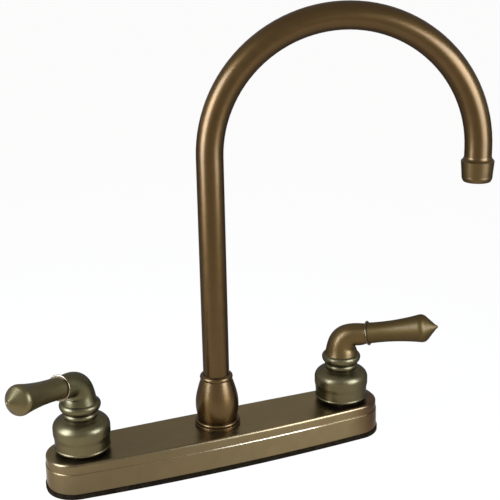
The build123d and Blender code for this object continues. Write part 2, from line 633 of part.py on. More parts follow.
# ---------------------------------------------------------------- one valve: side is -1 hot, 1 cold
def kidney_ports():
    """Cut the two kidney-shaped ports of a ceramic disc, centred on the sketch's own x."""
    for start in (0, 180):
        middle_line = CenterArc((0, 0), DISC_PORT_RADIUS, start - DISC_PORT_SWEEP / 2, DISC_PORT_SWEEP)
        SlotArc(middle_line, DISC_PORT_WIDTH, mode=Mode.SUBTRACT)


def drive_lugs(radius, clearance, mode):
    """Draw the two lugs at the rim that turn the ceramic disc, across the sketch's own x."""
    reach = DRIVE_LUG_REACH + clearance
    with Locations((0, radius - reach / 2), (0, reach / 2 - radius)):
        Rectangle(DRIVE_LUG_WIDTH + 2 * clearance, reach, mode=mode)


def spline_section(clearance):
    """Draw the toothed section of the stem's head, grown by a clearance."""
    root = SPLINE_ROOT_DIAMETER / 2 + clearance
    Circle(root)
    with PolarLocations(root, SPLINE_TEETH):
        Rectangle(2 * SPLINE_TOOTH_HEIGHT, SPLINE_TOOTH_WIDTH + 2 * clearance)


def build_valve_body(name, side):
    """Barrel, threaded neck and shank in one casting, with the water tube's socket on its inner side."""
    x = side * HALF_CENTRES
    plane = upright(x)
    shank = SHANK_DIAMETER / 2
    shank_end = -SHANK_LENGTH
    relief_floor = shank_end + SHANK_CHAMFER + COUPLING_THREAD_LENGTH
    relief_top = relief_floor + THREAD_RELIEF_WIDTH
    with BuildPart() as body:
        with BuildSketch(plane):
            with BuildLine():
                Polyline(
                    (SHANK_BORE / 2, shank_end),
                    (shank - SHANK_CHAMFER, shank_end),
                    (shank, shank_end + SHANK_CHAMFER),
                    (shank, relief_floor),
                    (shank - THREAD_RELIEF_DEPTH, relief_floor),
                    (shank - THREAD_RELIEF_DEPTH, relief_top),
                    (shank, relief_top),
                    (shank, GASKET_THICKNESS),
                    (BARREL_DIAMETER / 2, GASKET_THICKNESS),
                    (BARREL_DIAMETER / 2, PLATE_CEILING),
                    (NECK_DIAMETER / 2, PLATE_CEILING),
                    (NECK_DIAMETER / 2, NECK_TOP),
                    (CAVITY_DIAMETER / 2, NECK_TOP),
                    (CAVITY_DIAMETER / 2, CAVITY_FLOOR),
                    (SHANK_BORE / 2, CAVITY_FLOOR),
                    close=True,
                )
            make_face()
        revolve(axis=centre_line(plane))
        port_plane = Plane(origin=(x, 0, WATERWAY_HEIGHT), z_dir=(-side, 0, 0))
        with BuildSketch(port_plane):
            Circle(WATERWAY_DIAMETER / 2 - WATERWAY_WALL)
        extrude(amount=BARREL_DIAMETER / 2, mode=Mode.SUBTRACT)
        with BuildSketch(port_plane.offset(BARREL_DIAMETER / 2 - SOCKET_DEPTH)):
            Circle(WATERWAY_DIAMETER / 2 + FIT)
        extrude(amount=SOCKET_DEPTH, mode=Mode.SUBTRACT)
    save(body, f"{name}_valve_body")


def build_waterway_tube(name, side):
    """Tube that carries the water from the valve body's socket to the spout body's."""
    inner_end = SPOUT_BARREL_DIAMETER / 2 - SOCKET_DEPTH
    outer_end = HALF_CENTRES - BARREL_DIAMETER / 2 + SOCKET_DEPTH
    with BuildPart() as tube:
        with BuildSketch(Plane(origin=(side * inner_end, 0, WATERWAY_HEIGHT), z_dir=(side, 0, 0))):
            Circle(WATERWAY_DIAMETER / 2)
            Circle(WATERWAY_DIAMETER / 2 - WATERWAY_WALL, mode=Mode.SUBTRACT)
        extrude(amount=outer_end - inner_end)
    save(tube, f"{name}_waterway_tube")


def build_nuts(name, side):
    """The nuts and the washer of one shank and neck."""
    x = side * HALF_CENTRES
    neck_bore = NECK_DIAMETER / 2 + THREAD_FIT
    shank_bore = SHANK_DIAMETER / 2 + THREAD_FIT
    with BuildPart() as plate_nut:
        with BuildSketch(level(x, 0, PLATE_TOP)):
            RegularPolygon(PLATE_NUT_ACROSS_CORNERS / 2, 6)
            Circle(neck_bore, mode=Mode.SUBTRACT)
        extrude(amount=PLATE_NUT_HEIGHT)
    save(plate_nut, f"{name}_plate_nut")

    with BuildPart() as bonnet_nut:
        with BuildSketch(level(x, 0, CARTRIDGE_FLANGE_TOP - BONNET_NUT_SKIRT)):
            RegularPolygon(BONNET_NUT_ACROSS_CORNERS / 2, 6)
            Circle(neck_bore, mode=Mode.SUBTRACT)
        extrude(amount=BONNET_NUT_SKIRT)
        with BuildSketch(level(x, 0, CARTRIDGE_FLANGE_TOP)):
            RegularPolygon(BONNET_NUT_ACROSS_CORNERS / 2, 6)
            Circle(CARTRIDGE_NECK_DIAMETER / 2 + THREAD_FIT, mode=Mode.SUBTRACT)
        extrude(amount=BONNET_NUT_TOP)
    save(bonnet_nut, f"{name}_bonnet_nut")

    washer_floor = -DECK_ALLOWANCE - MOUNTING_WASHER_THICKNESS
    with BuildPart() as mounting_washer:
        turn_rings(upright(x), [(shank_bore, MOUNTING_WASHER_DIAMETER / 2, washer_floor, -DECK_ALLOWANCE)])
    save(mounting_washer, f"{name}_mounting_washer")

    nut_radius = MOUNTING_NUT_ACROSS_CORNERS / 2
    with BuildPart() as mounting_nut:
        turn_rings(upright(x), [(shank_bore, nut_radius, washer_floor - MOUNTING_NUT_FLANGE, washer_floor)])
        with BuildSketch(level(x, 0, washer_floor - MOUNTING_NUT_HEIGHT)):
            RegularPolygon(nut_radius, 6)
            Circle(shank_bore, mode=Mode.SUBTRACT)
        extrude(amount=MOUNTING_NUT_HEIGHT - MOUNTING_NUT_FLANGE)
    save(mounting_nut, f"{name}_mounting_nut")


def build_cartridge(name, side, port_azimuth):
    """Fixed and turning parts of the quarter turn cartridge, from the seal up to the stem."""
    x = side * HALF_CENTRES
    plane = upright(x)
    stem_bore = STEM_RADIUS + RUNNING_FIT
    with BuildPart() as seat_seal:
        turn_rings(plane, [(SEAL_BORE / 2, CARTRIDGE_RADIUS, CAVITY_FLOOR, FIXED_DISC_FLOOR)])
    save(seat_seal, f"{name}_seat_seal")

    with BuildPart() as fixed_disc:
        with BuildSketch(level(x, 0, FIXED_DISC_FLOOR)):
            Circle(CHAMBER_RADIUS - FIT)
            kidney_ports()
        extrude(amount=DISC_THICKNESS)
    save(fixed_disc, f"{name}_fixed_disc")

    with BuildPart() as cartridge_body:
        turn_rings(
            plane,
            [
                (CHAMBER_RADIUS, CARTRIDGE_RADIUS, FIXED_DISC_FLOOR, CHAMBER_CEILING),
                (stem_bore, CARTRIDGE_RADIUS, CHAMBER_CEILING, NECK_TOP),
                (stem_bore, CARTRIDGE_FLANGE_DIAMETER / 2, NECK_TOP, CARTRIDGE_FLANGE_TOP),
                (stem_bore, CARTRIDGE_NECK_DIAMETER / 2, CARTRIDGE_FLANGE_TOP, BONNET_NUT_TOP_HEIGHT),
            ],
        )
        with BuildSketch(Plane(origin=(x, 0, WATERWAY_HEIGHT), z_dir=(1, 0, 0))):
            Circle(WINDOW_DIAMETER / 2)
        extrude(amount=CARTRIDGE_RADIUS, both=True, mode=Mode.SUBTRACT)
    save(cartridge_body, f"{name}_cartridge_body")

    with BuildPart() as turning_disc:
        with BuildSketch(level(x, 0, TURNING_DISC_FLOOR, port_azimuth)):
            Circle(DRIVER_RADIUS)
            kidney_ports()
        extrude(amount=DISC_THICKNESS)
        with BuildSketch(level(x, 0, CHAMBER_FLOOR - DRIVE_LUG_DROP, port_azimuth)):
            drive_lugs(DRIVER_RADIUS, FIT, Mode.ADD)
        extrude(amount=DRIVE_LUG_DROP, mode=Mode.SUBTRACT)
    save(turning_disc, f"{name}_turning_disc")

    ring_floor = STEM_RADIUS - STEM_RING_SECTION - FIT
    with BuildPart() as stem:
        turn_rings(
            plane,
            [
                (0, DRIVER_RADIUS, CHAMBER_FLOOR, DRIVER_TOP),
                (0, STEM_RADIUS, DRIVER_TOP, BONNET_NUT_TOP_HEIGHT),
            ],
        )
        with BuildSketch(level(x, 0, CHAMBER_FLOOR, port_azimuth)):
            Rectangle(2 * DRIVER_RADIUS, DRIVER_CHANNEL_WIDTH)
        extrude(amount=DRIVER_CHANNEL_HEIGHT, mode=Mode.SUBTRACT)
        with BuildSketch(level(x, 0, CHAMBER_FLOOR - DRIVE_LUG_DROP + FIT, port_azimuth)):
            Circle(DRIVER_RADIUS)
            drive_lugs(DRIVER_RADIUS, 0, Mode.INTERSECT)
        extrude(amount=DRIVE_LUG_DROP - FIT)
        with BuildSketch(level(x, 0, BONNET_NUT_TOP_HEIGHT, port_azimuth)):
            spline_section(0)
        extrude(amount=STEM_TOP - BONNET_NUT_TOP_HEIGHT)
        with BuildSketch(plane):
            for height in STEM_RING_HEIGHTS:
                with Locations(((ring_floor + STEM_RADIUS) / 2, CHAMBER_CEILING + height)):
                    Rectangle(STEM_RADIUS - ring_floor, STEM_RING_SECTION * GROOVE_ROOM)
        revolve(axis=centre_line(plane), mode=Mode.SUBTRACT)
    save(stem, f"{name}_stem")

    with BuildPart() as stem_orings:
        with BuildSketch(plane):
            for height in STEM_RING_HEIGHTS:
                with Locations((ring_floor + STEM_RING_SECTION / 2, CHAMBER_CEILING + height)):
                    Circle(STEM_RING_SECTION / 2)
        revolve(axis=centre_line(plane))
    save(stem_orings, f"{name}_stem_orings")


# ---------------------------------------------------------------- one teapot handle
def build_bell(name, side, azimuth, port_azimuth):
    """The turned bell with its neck bead and flared collar, hollow below and splined on the stem."""
    x = side * HALF_CENTRES
    plane = upright(x, 0, azimuth)
    skirt_foot = BELL_LIP + LIP_HEIGHT
    skirt_top = skirt_foot + SKIRT_HEIGHT
    belly_foot = skirt_top + SWELL_HEIGHT
    belly_top = belly_foot + BELLY_HEIGHT
    collar_third = (COLLAR_RADIUS * 2 + COLLAR_TOP_RADIUS) / 3
    with BuildPart() as bell:
        with BuildSketch(plane):
            with BuildLine():
                Line((BELL_BORE_RADIUS, BELL_LIP), (LIP_FOOT_RADIUS, BELL_LIP))
                ThreePointArc(
                    (LIP_FOOT_RADIUS, BELL_LIP),
                    (LIP_RADIUS, BELL_LIP + LIP_HEIGHT / 2),
                    (SKIRT_FOOT_RADIUS, skirt_foot),
                )
                Line((SKIRT_FOOT_RADIUS, skirt_foot), (SKIRT_TOP_RADIUS, skirt_top))
                Spline(
                    (SKIRT_TOP_RADIUS, skirt_top),
                    (BELLY_RADIUS, belly_foot),
                    tangents=((0, 1), (0, 1)),
                )
                Line((BELLY_RADIUS, belly_foot), (BELLY_RADIUS, belly_top))
                Spline(
                    (BELLY_RADIUS, belly_top),
                    (SHOULDER_MID_RADIUS, belly_top + SHOULDER_MID_HEIGHT),
                    (SHOULDER_TOP_RADIUS, SHOULDER_TOP),
                    tangents=((0, 1), SHOULDER_TOP_TANGENT),
                )
                Line((SHOULDER_TOP_RADIUS, SHOULDER_TOP), (NECK_RADIUS, NECK_FOOT))
                ThreePointArc(
                    (NECK_RADIUS, NECK_FOOT),
                    (NECK_BEAD_RADIUS, NECK_FOOT + NECK_BEAD_HEIGHT / 2),
                    (NECK_RADIUS, COLLAR_FOOT),
                )
                ThreePointArc(
                    (NECK_RADIUS, COLLAR_FOOT),
                    (COLLAR_FLARE_MID_RADIUS, COLLAR_FOOT + COLLAR_FLARE_HEIGHT * COLLAR_FLARE_MID_SHARE),
                    (COLLAR_RADIUS, COLLAR_EDGE),
                )
                ThreePointArc(
                    (COLLAR_RADIUS, COLLAR_EDGE),
                    (collar_third, COLLAR_EDGE + COLLAR_TOP_HEIGHT * COLLAR_TOP_SWELL),
                    (COLLAR_TOP_RADIUS, BELL_TOP),
                )
                Polyline(
                    (COLLAR_TOP_RADIUS, BELL_TOP),
                    (SPIGOT_RADIUS + FIT, BELL_TOP),
                    (SPIGOT_RADIUS + FIT, SPIGOT_FOOT),
                    (0, SPIGOT_FOOT),
                    (0, BOSS_FOOT),
                    (BOSS_RADIUS, BOSS_FOOT),
                    (BOSS_RADIUS, BELL_CEILING),
                    (BELL_BORE_RADIUS, BELL_CEILING),
                    (BELL_BORE_RADIUS, BELL_LIP),
                )
            make_face()
        revolve(axis=centre_line(plane))
        with BuildSketch(level(x, 0, BOSS_FOOT, port_azimuth)):
            spline_section(FIT)
        extrude(amount=SOCKET_TOP - BOSS_FOOT, mode=Mode.SUBTRACT)
        back = Plane(origin=(x, 0, SET_SCREW_HEIGHT), z_dir=-plane.x_dir)
        with BuildSketch(back):
            Circle(SET_SCREW_DIAMETER / 2 + FIT)
        extrude(amount=NECK_BEAD_RADIUS, mode=Mode.SUBTRACT)
    save(bell, f"{name}_handle_bell")

    screw_tip = SPLINE_ROOT_DIAMETER / 2 + SPLINE_TOOTH_HEIGHT + FIT
    with BuildPart() as set_screw:
        with BuildSketch(back.offset(screw_tip)):
            Circle(SET_SCREW_DIAMETER / 2)
        extrude(amount=SET_SCREW_LENGTH)
        with BuildSketch(back.offset(screw_tip + SET_SCREW_LENGTH - SET_SCREW_SOCKET_DEPTH)):
            RegularPolygon(SET_SCREW_SOCKET / 2, 6)
        extrude(amount=SET_SCREW_SOCKET_DEPTH, mode=Mode.SUBTRACT)
    save(set_screw, f"{name}_set_screw")


def build_lever(name, side, azimuth):
    """The tapering elbow, the thin ring and the club-shaped grip that together make the lever."""
    x = side * HALF_CENTRES
    plane = upright(x, 0, azimuth)
    bend = 90 - LEVER_TILT
    tangent_length = ELBOW_BEND_RADIUS * tan(radians(bend / 2))
    crossing = BELL_TOP + ELBOW_RISE
    bend_foot = crossing - tangent_length

    def along_elbow(turned):
        """Centre and direction of the elbow's axis, in the upright plane, after turning so far."""
        centre_x = ELBOW_BEND_RADIUS * (1 - cos(radians(turned)))
        centre_y = bend_foot + ELBOW_BEND_RADIUS * sin(radians(turned))
        return (centre_x, centre_y), (sin(radians(turned)), cos(radians(turned)))

    def across(point, direction):
        """Plane square to the elbow's axis at a point of the upright plane."""
        origin = plane.from_local_coords((point[0], point[1], 0))
        normal = plane.x_dir * direction[0] + plane.y_dir * direction[1]
        return Plane(origin=origin, x_dir=plane.z_dir, z_dir=normal)

    tilt = radians(LEVER_TILT)
    lever_direction = (cos(tilt), sin(tilt))
    elbow_end = LEVER_REACH - RING_THICKNESS / 2
    elbow_tip = (elbow_end * cos(tilt), crossing + elbow_end * sin(tilt))
    stations = [((0, BELL_TOP), (0, 1), ELBOW_FOOT_RADIUS)]
    for step in range(ELBOW_BEND_STEPS + 1):
        share = step / ELBOW_BEND_STEPS
        point, direction = along_elbow(bend * share)
        radius = ELBOW_START_RADIUS + (ELBOW_BEND_END_RADIUS - ELBOW_START_RADIUS) * share
        stations.append((point, direction, radius))
    stations.append((elbow_tip, lever_direction, ELBOW_TIP_RADIUS))

    with BuildPart() as elbow:
        for point, direction, radius in stations:
            with BuildSketch(across(point, direction)):
                Circle(radius)
        loft()
        with BuildSketch(level(x, 0, BELL_TOP)):
            Circle(SPIGOT_RADIUS)
        extrude(amount=-SPIGOT_LENGTH)
        with BuildSketch(across(elbow_tip, lever_direction)):
            Circle(STUD_RADIUS + THREAD_FIT)
        extrude(amount=-STUD_LENGTH, mode=Mode.SUBTRACT)
    save(elbow, f"{name}_lever_elbow")

    end_point = plane.from_local_coords((elbow_tip[0], elbow_tip[1], 0))
    along = plane.x_dir * lever_direction[0] + plane.y_dir * lever_direction[1]
    lever_plane = Plane(origin=end_point, x_dir=along, z_dir=plane.z_dir)
    lever_axis = Axis(end_point, along)

    with BuildPart() as ring:
        with BuildSketch(lever_plane):
            with BuildLine():
                Polyline(
                    (RING_THICKNESS, RING_EDGE_RADIUS),
                    (RING_THICKNESS, STUD_RADIUS + THREAD_FIT),
                    (0, STUD_RADIUS + THREAD_FIT),
                    (0, RING_EDGE_RADIUS),
                )
                ThreePointArc(
                    (0, RING_EDGE_RADIUS),
                    (RING_THICKNESS / 2, RING_RADIUS),
                    (RING_THICKNESS, RING_EDGE_RADIUS),
                )
            make_face()
        revolve(axis=lever_axis)
    save(ring, f"{name}_lever_ring")

    grip_mid = RING_THICKNESS + GRIP_MID_LENGTH
    grip_bulge = grip_mid + GRIP_FLARE_LENGTH
    with BuildPart() as grip:
        with BuildSketch(lever_plane):
            with BuildLine():
                stud_line = Polyline(
                    (-STUD_LENGTH + FIT, 0),
                    (-STUD_LENGTH + FIT, STUD_RADIUS),
                    (RING_THICKNESS, STUD_RADIUS),
                    (RING_THICKNESS, GRIP_START_RADIUS),
                )
                flare = ThreePointArc(
                    stud_line @ 1, (grip_mid, GRIP_MID_RADIUS), (grip_bulge, GRIP_BULGE_RADIUS)
                )
                rise = flare % 1
                turned = degrees(atan2(rise.Y, rise.X)) + GRIP_CONE_ANGLE
                cheek = JernArc(flare @ 1, rise, GRIP_CHEEK_RADIUS, -turned)
                cone_run = ((cheek @ 1).Y - GRIP_NUB_RADIUS) / tan(radians(GRIP_CONE_ANGLE))
                cone = Line(cheek @ 1, ((cheek @ 1).X + cone_run, GRIP_NUB_RADIUS))
                CenterArc(((cone @ 1).X, 0), GRIP_NUB_RADIUS, 0, 90)
                Line(((cone @ 1).X + GRIP_NUB_RADIUS, 0), stud_line @ 0)
            make_face()
        revolve(axis=lever_axis)
    save(grip, f"{name}_lever_grip")


# ---------------------------------------------------------------- both sides
for name, side, forward in (("hot", -1, HOT_LEVER_FORWARD), ("cold", 1, COLD_LEVER_FORWARD)):
    shut_azimuth = 0 if side > 0 else 180
    lever_azimuth = shut_azimuth - side * forward
    port_azimuth = side * (LEVER_TRAVEL - forward)
    build_valve_body(name, side)
    build_waterway_tube(name, side)
    build_nuts(name, side)
    build_cartridge(name, side, port_azimuth)
    build_bell(name, side, lever_azimuth, port_azimuth)
    build_lever(name, side, lever_azimuth)
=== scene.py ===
"""Finishes, threads, light and camera for the two handle kitchen faucet.

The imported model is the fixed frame: every length here is in metres in that frame, with the
origin on the spout's axis at the deck, +X towards the cold handle, -Y towards the user and +Z up.
"""

import json
import logging
import math
from collections.abc import Callable
from dataclasses import dataclass, field, replace
from enum import Enum

import bpy
from mathutils import Matrix, Vector

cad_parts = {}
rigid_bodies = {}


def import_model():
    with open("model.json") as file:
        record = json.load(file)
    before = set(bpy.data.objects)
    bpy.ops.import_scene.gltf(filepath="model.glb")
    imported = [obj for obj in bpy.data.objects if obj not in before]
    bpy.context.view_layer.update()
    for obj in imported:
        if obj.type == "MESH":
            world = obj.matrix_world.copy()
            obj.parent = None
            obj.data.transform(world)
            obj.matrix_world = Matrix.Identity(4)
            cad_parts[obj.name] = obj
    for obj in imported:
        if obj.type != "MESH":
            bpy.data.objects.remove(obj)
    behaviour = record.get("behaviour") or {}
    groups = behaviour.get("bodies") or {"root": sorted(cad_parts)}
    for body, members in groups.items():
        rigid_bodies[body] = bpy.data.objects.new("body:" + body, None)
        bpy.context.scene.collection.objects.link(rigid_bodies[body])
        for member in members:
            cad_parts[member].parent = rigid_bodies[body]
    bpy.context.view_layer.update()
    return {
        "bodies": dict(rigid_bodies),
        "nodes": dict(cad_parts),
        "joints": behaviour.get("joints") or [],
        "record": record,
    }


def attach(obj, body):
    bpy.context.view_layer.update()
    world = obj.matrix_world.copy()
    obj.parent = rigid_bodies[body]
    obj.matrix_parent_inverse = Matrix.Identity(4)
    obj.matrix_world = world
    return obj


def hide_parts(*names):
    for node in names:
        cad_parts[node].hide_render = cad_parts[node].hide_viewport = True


LOG = logging.getLogger("faucet")

Colour = tuple[float, float, float]
Point = tuple[float, float, float]
Span = tuple[float, float]
Socket = bpy.types.NodeSocket
RadiusAt = Callable[[float], float]

MM = 0.001
HALF_CENTRES = 101.6 * MM
SHARP_ANGLE = math.radians(32.0)
EDGE_REACH = 0.3 * MM
EDGE_SAMPLES = 4
SOFT_SAMPLES = 8
RECESS_SAMPLES = 6
FINE_RELIEF = 0.05 * MM
QUARTER_TURN = 0.25
NOISE_SPAN: Span = (0.3, 0.7)
RISING: Span = (0.0, 1.0)
FALLING: Span = (1.0, 0.0)
WHITE: Colour = (1.0, 1.0, 1.0)


class Side(Enum):
    """The two valves, by the sign of their place along X."""

    HOT = -1
    COLD = 1

    @property
    def word(self) -> str:
        """The side's name as the nodes spell it."""
        return self.name.lower()

    @property
    def centre(self) -> float:
        """Where the side's upright axis crosses X, in metres."""
        return self.value * HALF_CENTRES


# ---------------------------------------------------------------- node graphs
@dataclass(frozen=True)
class Layer:
    """One layer of noise: the width of its patches and what its values become."""

    feature: float
    detail: float
    span: Span = NOISE_SPAN
    levels: Span = RISING
    distortion: float = 0.0

    def raised(self, base: float) -> "Layer":
        """Raises the levels of the layer.

        Args:
            base: what is added to both levels.

        Returns:
            The same noise with its levels raised.
        """
        low, high = self.levels
        return replace(self, levels=(base + low, base + high))


@dataclass(frozen=True)
class Relief:
    """A noise that tilts the surface: the width, detail, share and height of its bumps."""

    feature: float
    detail: float
    strength: float
    height: float


class Graph:
    """The node tree of one material or of the world, with short calls to add and join nodes."""

    def __init__(self, tree: bpy.types.NodeTree) -> None:
        """Starts from an empty tree.

        Args:
            tree: the tree that takes the nodes.
        """
        self.tree = tree
        tree.nodes.clear()

    def add(self, kind: str, inputs: dict | None = None, **settings: object) -> bpy.types.Node:
        """Adds a node, applies its settings and feeds its inputs.

        Args:
            kind: the node's Blender type, such as "ShaderNodeMix".
            inputs: input name or number to a value or to another node's output socket.
            **settings: properties of the node itself.

        Returns:
            The new node.
        """
        node = self.tree.nodes.new(kind)
        for key, value in settings.items():
            setattr(node, key, value)
        for key, value in (inputs or {}).items():
            socket = node.inputs[key]
            if isinstance(value, Socket):
                self.tree.links.new(value, socket)
            else:
                socket.default_value = value
        return node

    def math(self, operation: str, *values: object) -> Socket:
        """Adds a Math node and returns its result.

        Args:
            operation: the Math node's operation.
            *values: its inputs in order, numbers or sockets.

        Returns:
            The socket that holds the result.
        """
        node = self.add("ShaderNodeMath", dict(enumerate(values)), operation=operation)
        return node.outputs[0]

    def product(self, first: object, *others: object) -> Socket:
        """Multiplies numbers or sockets.

        Args:
            first: the first factor.
            *others: the other factors, at least one.

        Returns:
            The socket that holds the product.
        """
        for other in others:
            first = self.math("MULTIPLY", first, other)
        return first

    def along(self, place: Socket, direction: object) -> Socket:
        """How far a place lies along a direction.

        Args:
            place: the place, or a normal.
            direction: the direction, a vector or socket.

        Returns:
            The dot product of the two.
        """
        node = self.add("ShaderNodeVectorMath", {0: place, 1: direction}, operation="DOT_PRODUCT")
        return node.outputs["Value"]

    def remap(self, value: Socket, span: Span, levels: Span = RISING) -> Socket:
        """Maps a value from one range to another, with soft ends.

        Args:
            value: the socket to map.
            span: the values that become the first and the second level.
            levels: what they become.

        Returns:
            The socket that holds the result.
        """
        node = self.add(
            "ShaderNodeMapRange",
            {
                "Value": value,
                "From Min": span[0],
                "From Max": span[1],
                "To Min": levels[0],
                "To Max": levels[1],
            },
            interpolation_type="SMOOTHSTEP",
        )
        return node.outputs["Result"]

    def choose(self, share: Socket, first: object, second: object) -> Socket:
        """Mixes two numbers by a share.

        Args:
            share: 0 gives the first number and 1 the second.
            first: a number or socket.
            second: a number or socket.

        Returns:
            The socket that holds the mixed number.
        """
        return self.add("ShaderNodeMix", {0: share, 2: first, 3: second}).outputs[0]

    def blend(self, share: object, first: object, second: object, mode: str = "MIX") -> Socket:
        """Mixes two colours by a share.

        Args:
            share: 0 gives the first colour and 1 the second, a number or socket.
            first: a colour or socket.
            second: a colour or socket.
            mode: the Mix node's blend type.

        Returns:
            The socket that holds the mixed colour.
        """
        node = self.add("ShaderNodeMix", data_type="RGBA", blend_type=mode)
        for number, value in ((0, share), (6, first), (7, second)):
            socket = node.inputs[number]
            if isinstance(value, Socket):
                self.tree.links.new(value, socket)
            elif isinstance(value, tuple):
                socket.default_value = (*value, 1.0)
            else:
                socket.default_value = value
        return node.outputs[2]

    def place(self) -> Socket:
        """Finds the place on the piece.

        Returns:
            The place, in metres in the piece's own resting frame.
        """
        return self.add("ShaderNodeTexCoord").outputs["Object"]

    def noise(
        self, place: Socket, feature: float, detail: float, distortion: float = 0.0
    ) -> Socket:
        """Adds a noise whose patches are about as wide as asked.

        Args:
            place: where to read the noise.
            feature: width of a patch, in metres.
            detail: how many finer layers it has.
            distortion: how much the patches are stirred.

        Returns:
            The noise's value, about 0.3 to 0.7.
        """
        node = self.add(
            "ShaderNodeTexNoise",
            {
                "Vector": place,
                "Scale": 1.0 / feature,
                "Detail": detail,
                "Distortion": distortion,
            },
        )
        return node.outputs["Fac"]

    def layer(self, place: Socket, layer: Layer) -> Socket:
        """Adds a noise and maps its values.

        Args:
            place: where to read the noise.
            layer: the noise and its levels.

        Returns:
            The mapped value.
        """
        value = self.noise(place, layer.feature, layer.detail, layer.distortion)
        return self.remap(value, layer.span, layer.levels)

    def bump(
        self, height: Socket, strength: float, distance: float, over: Socket | None = None
    ) -> Socket:
        """Tilts the surface as a height asks.

        Args:
            height: the height's socket.
            strength: how much of the tilt shows.
            distance: what a height of 1 stands for, in metres.
            over: the normal that is tilted, or None for the surface's own.

        Returns:
            The tilted normal.
        """
        node = self.add(
            "ShaderNodeBump", {"Strength": strength, "Distance": distance, "Height": height}
        )
        if over is not None:
            self.tree.links.new(over, node.inputs["Normal"])
        return node.outputs[0]

    def relief(self, place: Socket, relief: Relief, over: Socket | None = None) -> Socket:
        """Tilts the surface with a noise.

        Args:
            place: where to read the noise.
            relief: the noise and its bumps.
            over: the normal that is tilted, or None for the surface's own.

        Returns:
            The tilted normal.
        """
        height = self.noise(place, relief.feature, relief.detail)
        return self.bump(height, relief.strength, relief.height, over)

    def rounded(self, radius: float, samples: int) -> Socket:
        """Finds the normal that the surface would have with its edges rounded.

        Args:
            radius: the rounding's radius, in metres.
            samples: how many rays look for an edge.

        Returns:
            The rounded normal.
        """
        node = self.add("ShaderNodeBevel", {"Radius": radius}, samples=samples)
        return node.outputs["Normal"]

    def edges(self, agreement: Span) -> Socket:
        """Makes a mask that is 1 on sharp edges.

        Args:
            agreement: agreement of the rounded and the plain normal where the mask is full, and
                where it ends.

        Returns:
            The mask's socket.
        """
        plain = self.add("ShaderNodeNewGeometry").outputs["Normal"]
        agreed = self.along(self.rounded(EDGE_REACH, EDGE_SAMPLES), plain)
        return self.remap(agreed, agreement, FALLING)

    def tone(self, tint: Socket, share: Socket) -> Socket:
        """Makes a colour lighter or darker.

        Args:
            tint: the colour.
            share: what its three parts are multiplied by.

        Returns:
            The new colour's socket.
        """
        grey = self.add("ShaderNodeCombineXYZ", {0: share, 1: share, 2: share})
        return self.blend(1.0, tint, grey.outputs[0], "MULTIPLY")

    def recess(self, reach: float) -> Socket:
        """Measures how open the surface is.

        Args:
            reach: how far away a wall still counts, in metres.

        Returns:
            The openness, from 0 deep in a groove to 1 in the open.
        """
        node = self.add(
            "ShaderNodeAmbientOcclusion",
            {"Distance": reach},
            samples=RECESS_SAMPLES,
            only_local=True,
        )
        return node.outputs["AO"]


# ---------------------------------------------------------------- finishes
@dataclass(frozen=True)
class Finish:
    """What the surface of a piece is like."""

    name: str

    def material(self) -> bpy.types.Material:
        """Makes the material, unless it is already made.

        Returns:
            The material.
        """
        made = bpy.data.materials.get(self.name)
        if made is None:
            made = bpy.data.materials.new(self.name)
            made.use_nodes = True
            graph = Graph(made.node_tree)
            graph.add("ShaderNodeOutputMaterial", {"Surface": self.shade(graph)})
        return made

    def shade(self, graph: Graph) -> Socket:
        """Adds the nodes of the surface.

        Args:
            graph: the material's nodes.

        Returns:
            The shader's socket.
        """
        raise NotImplementedError


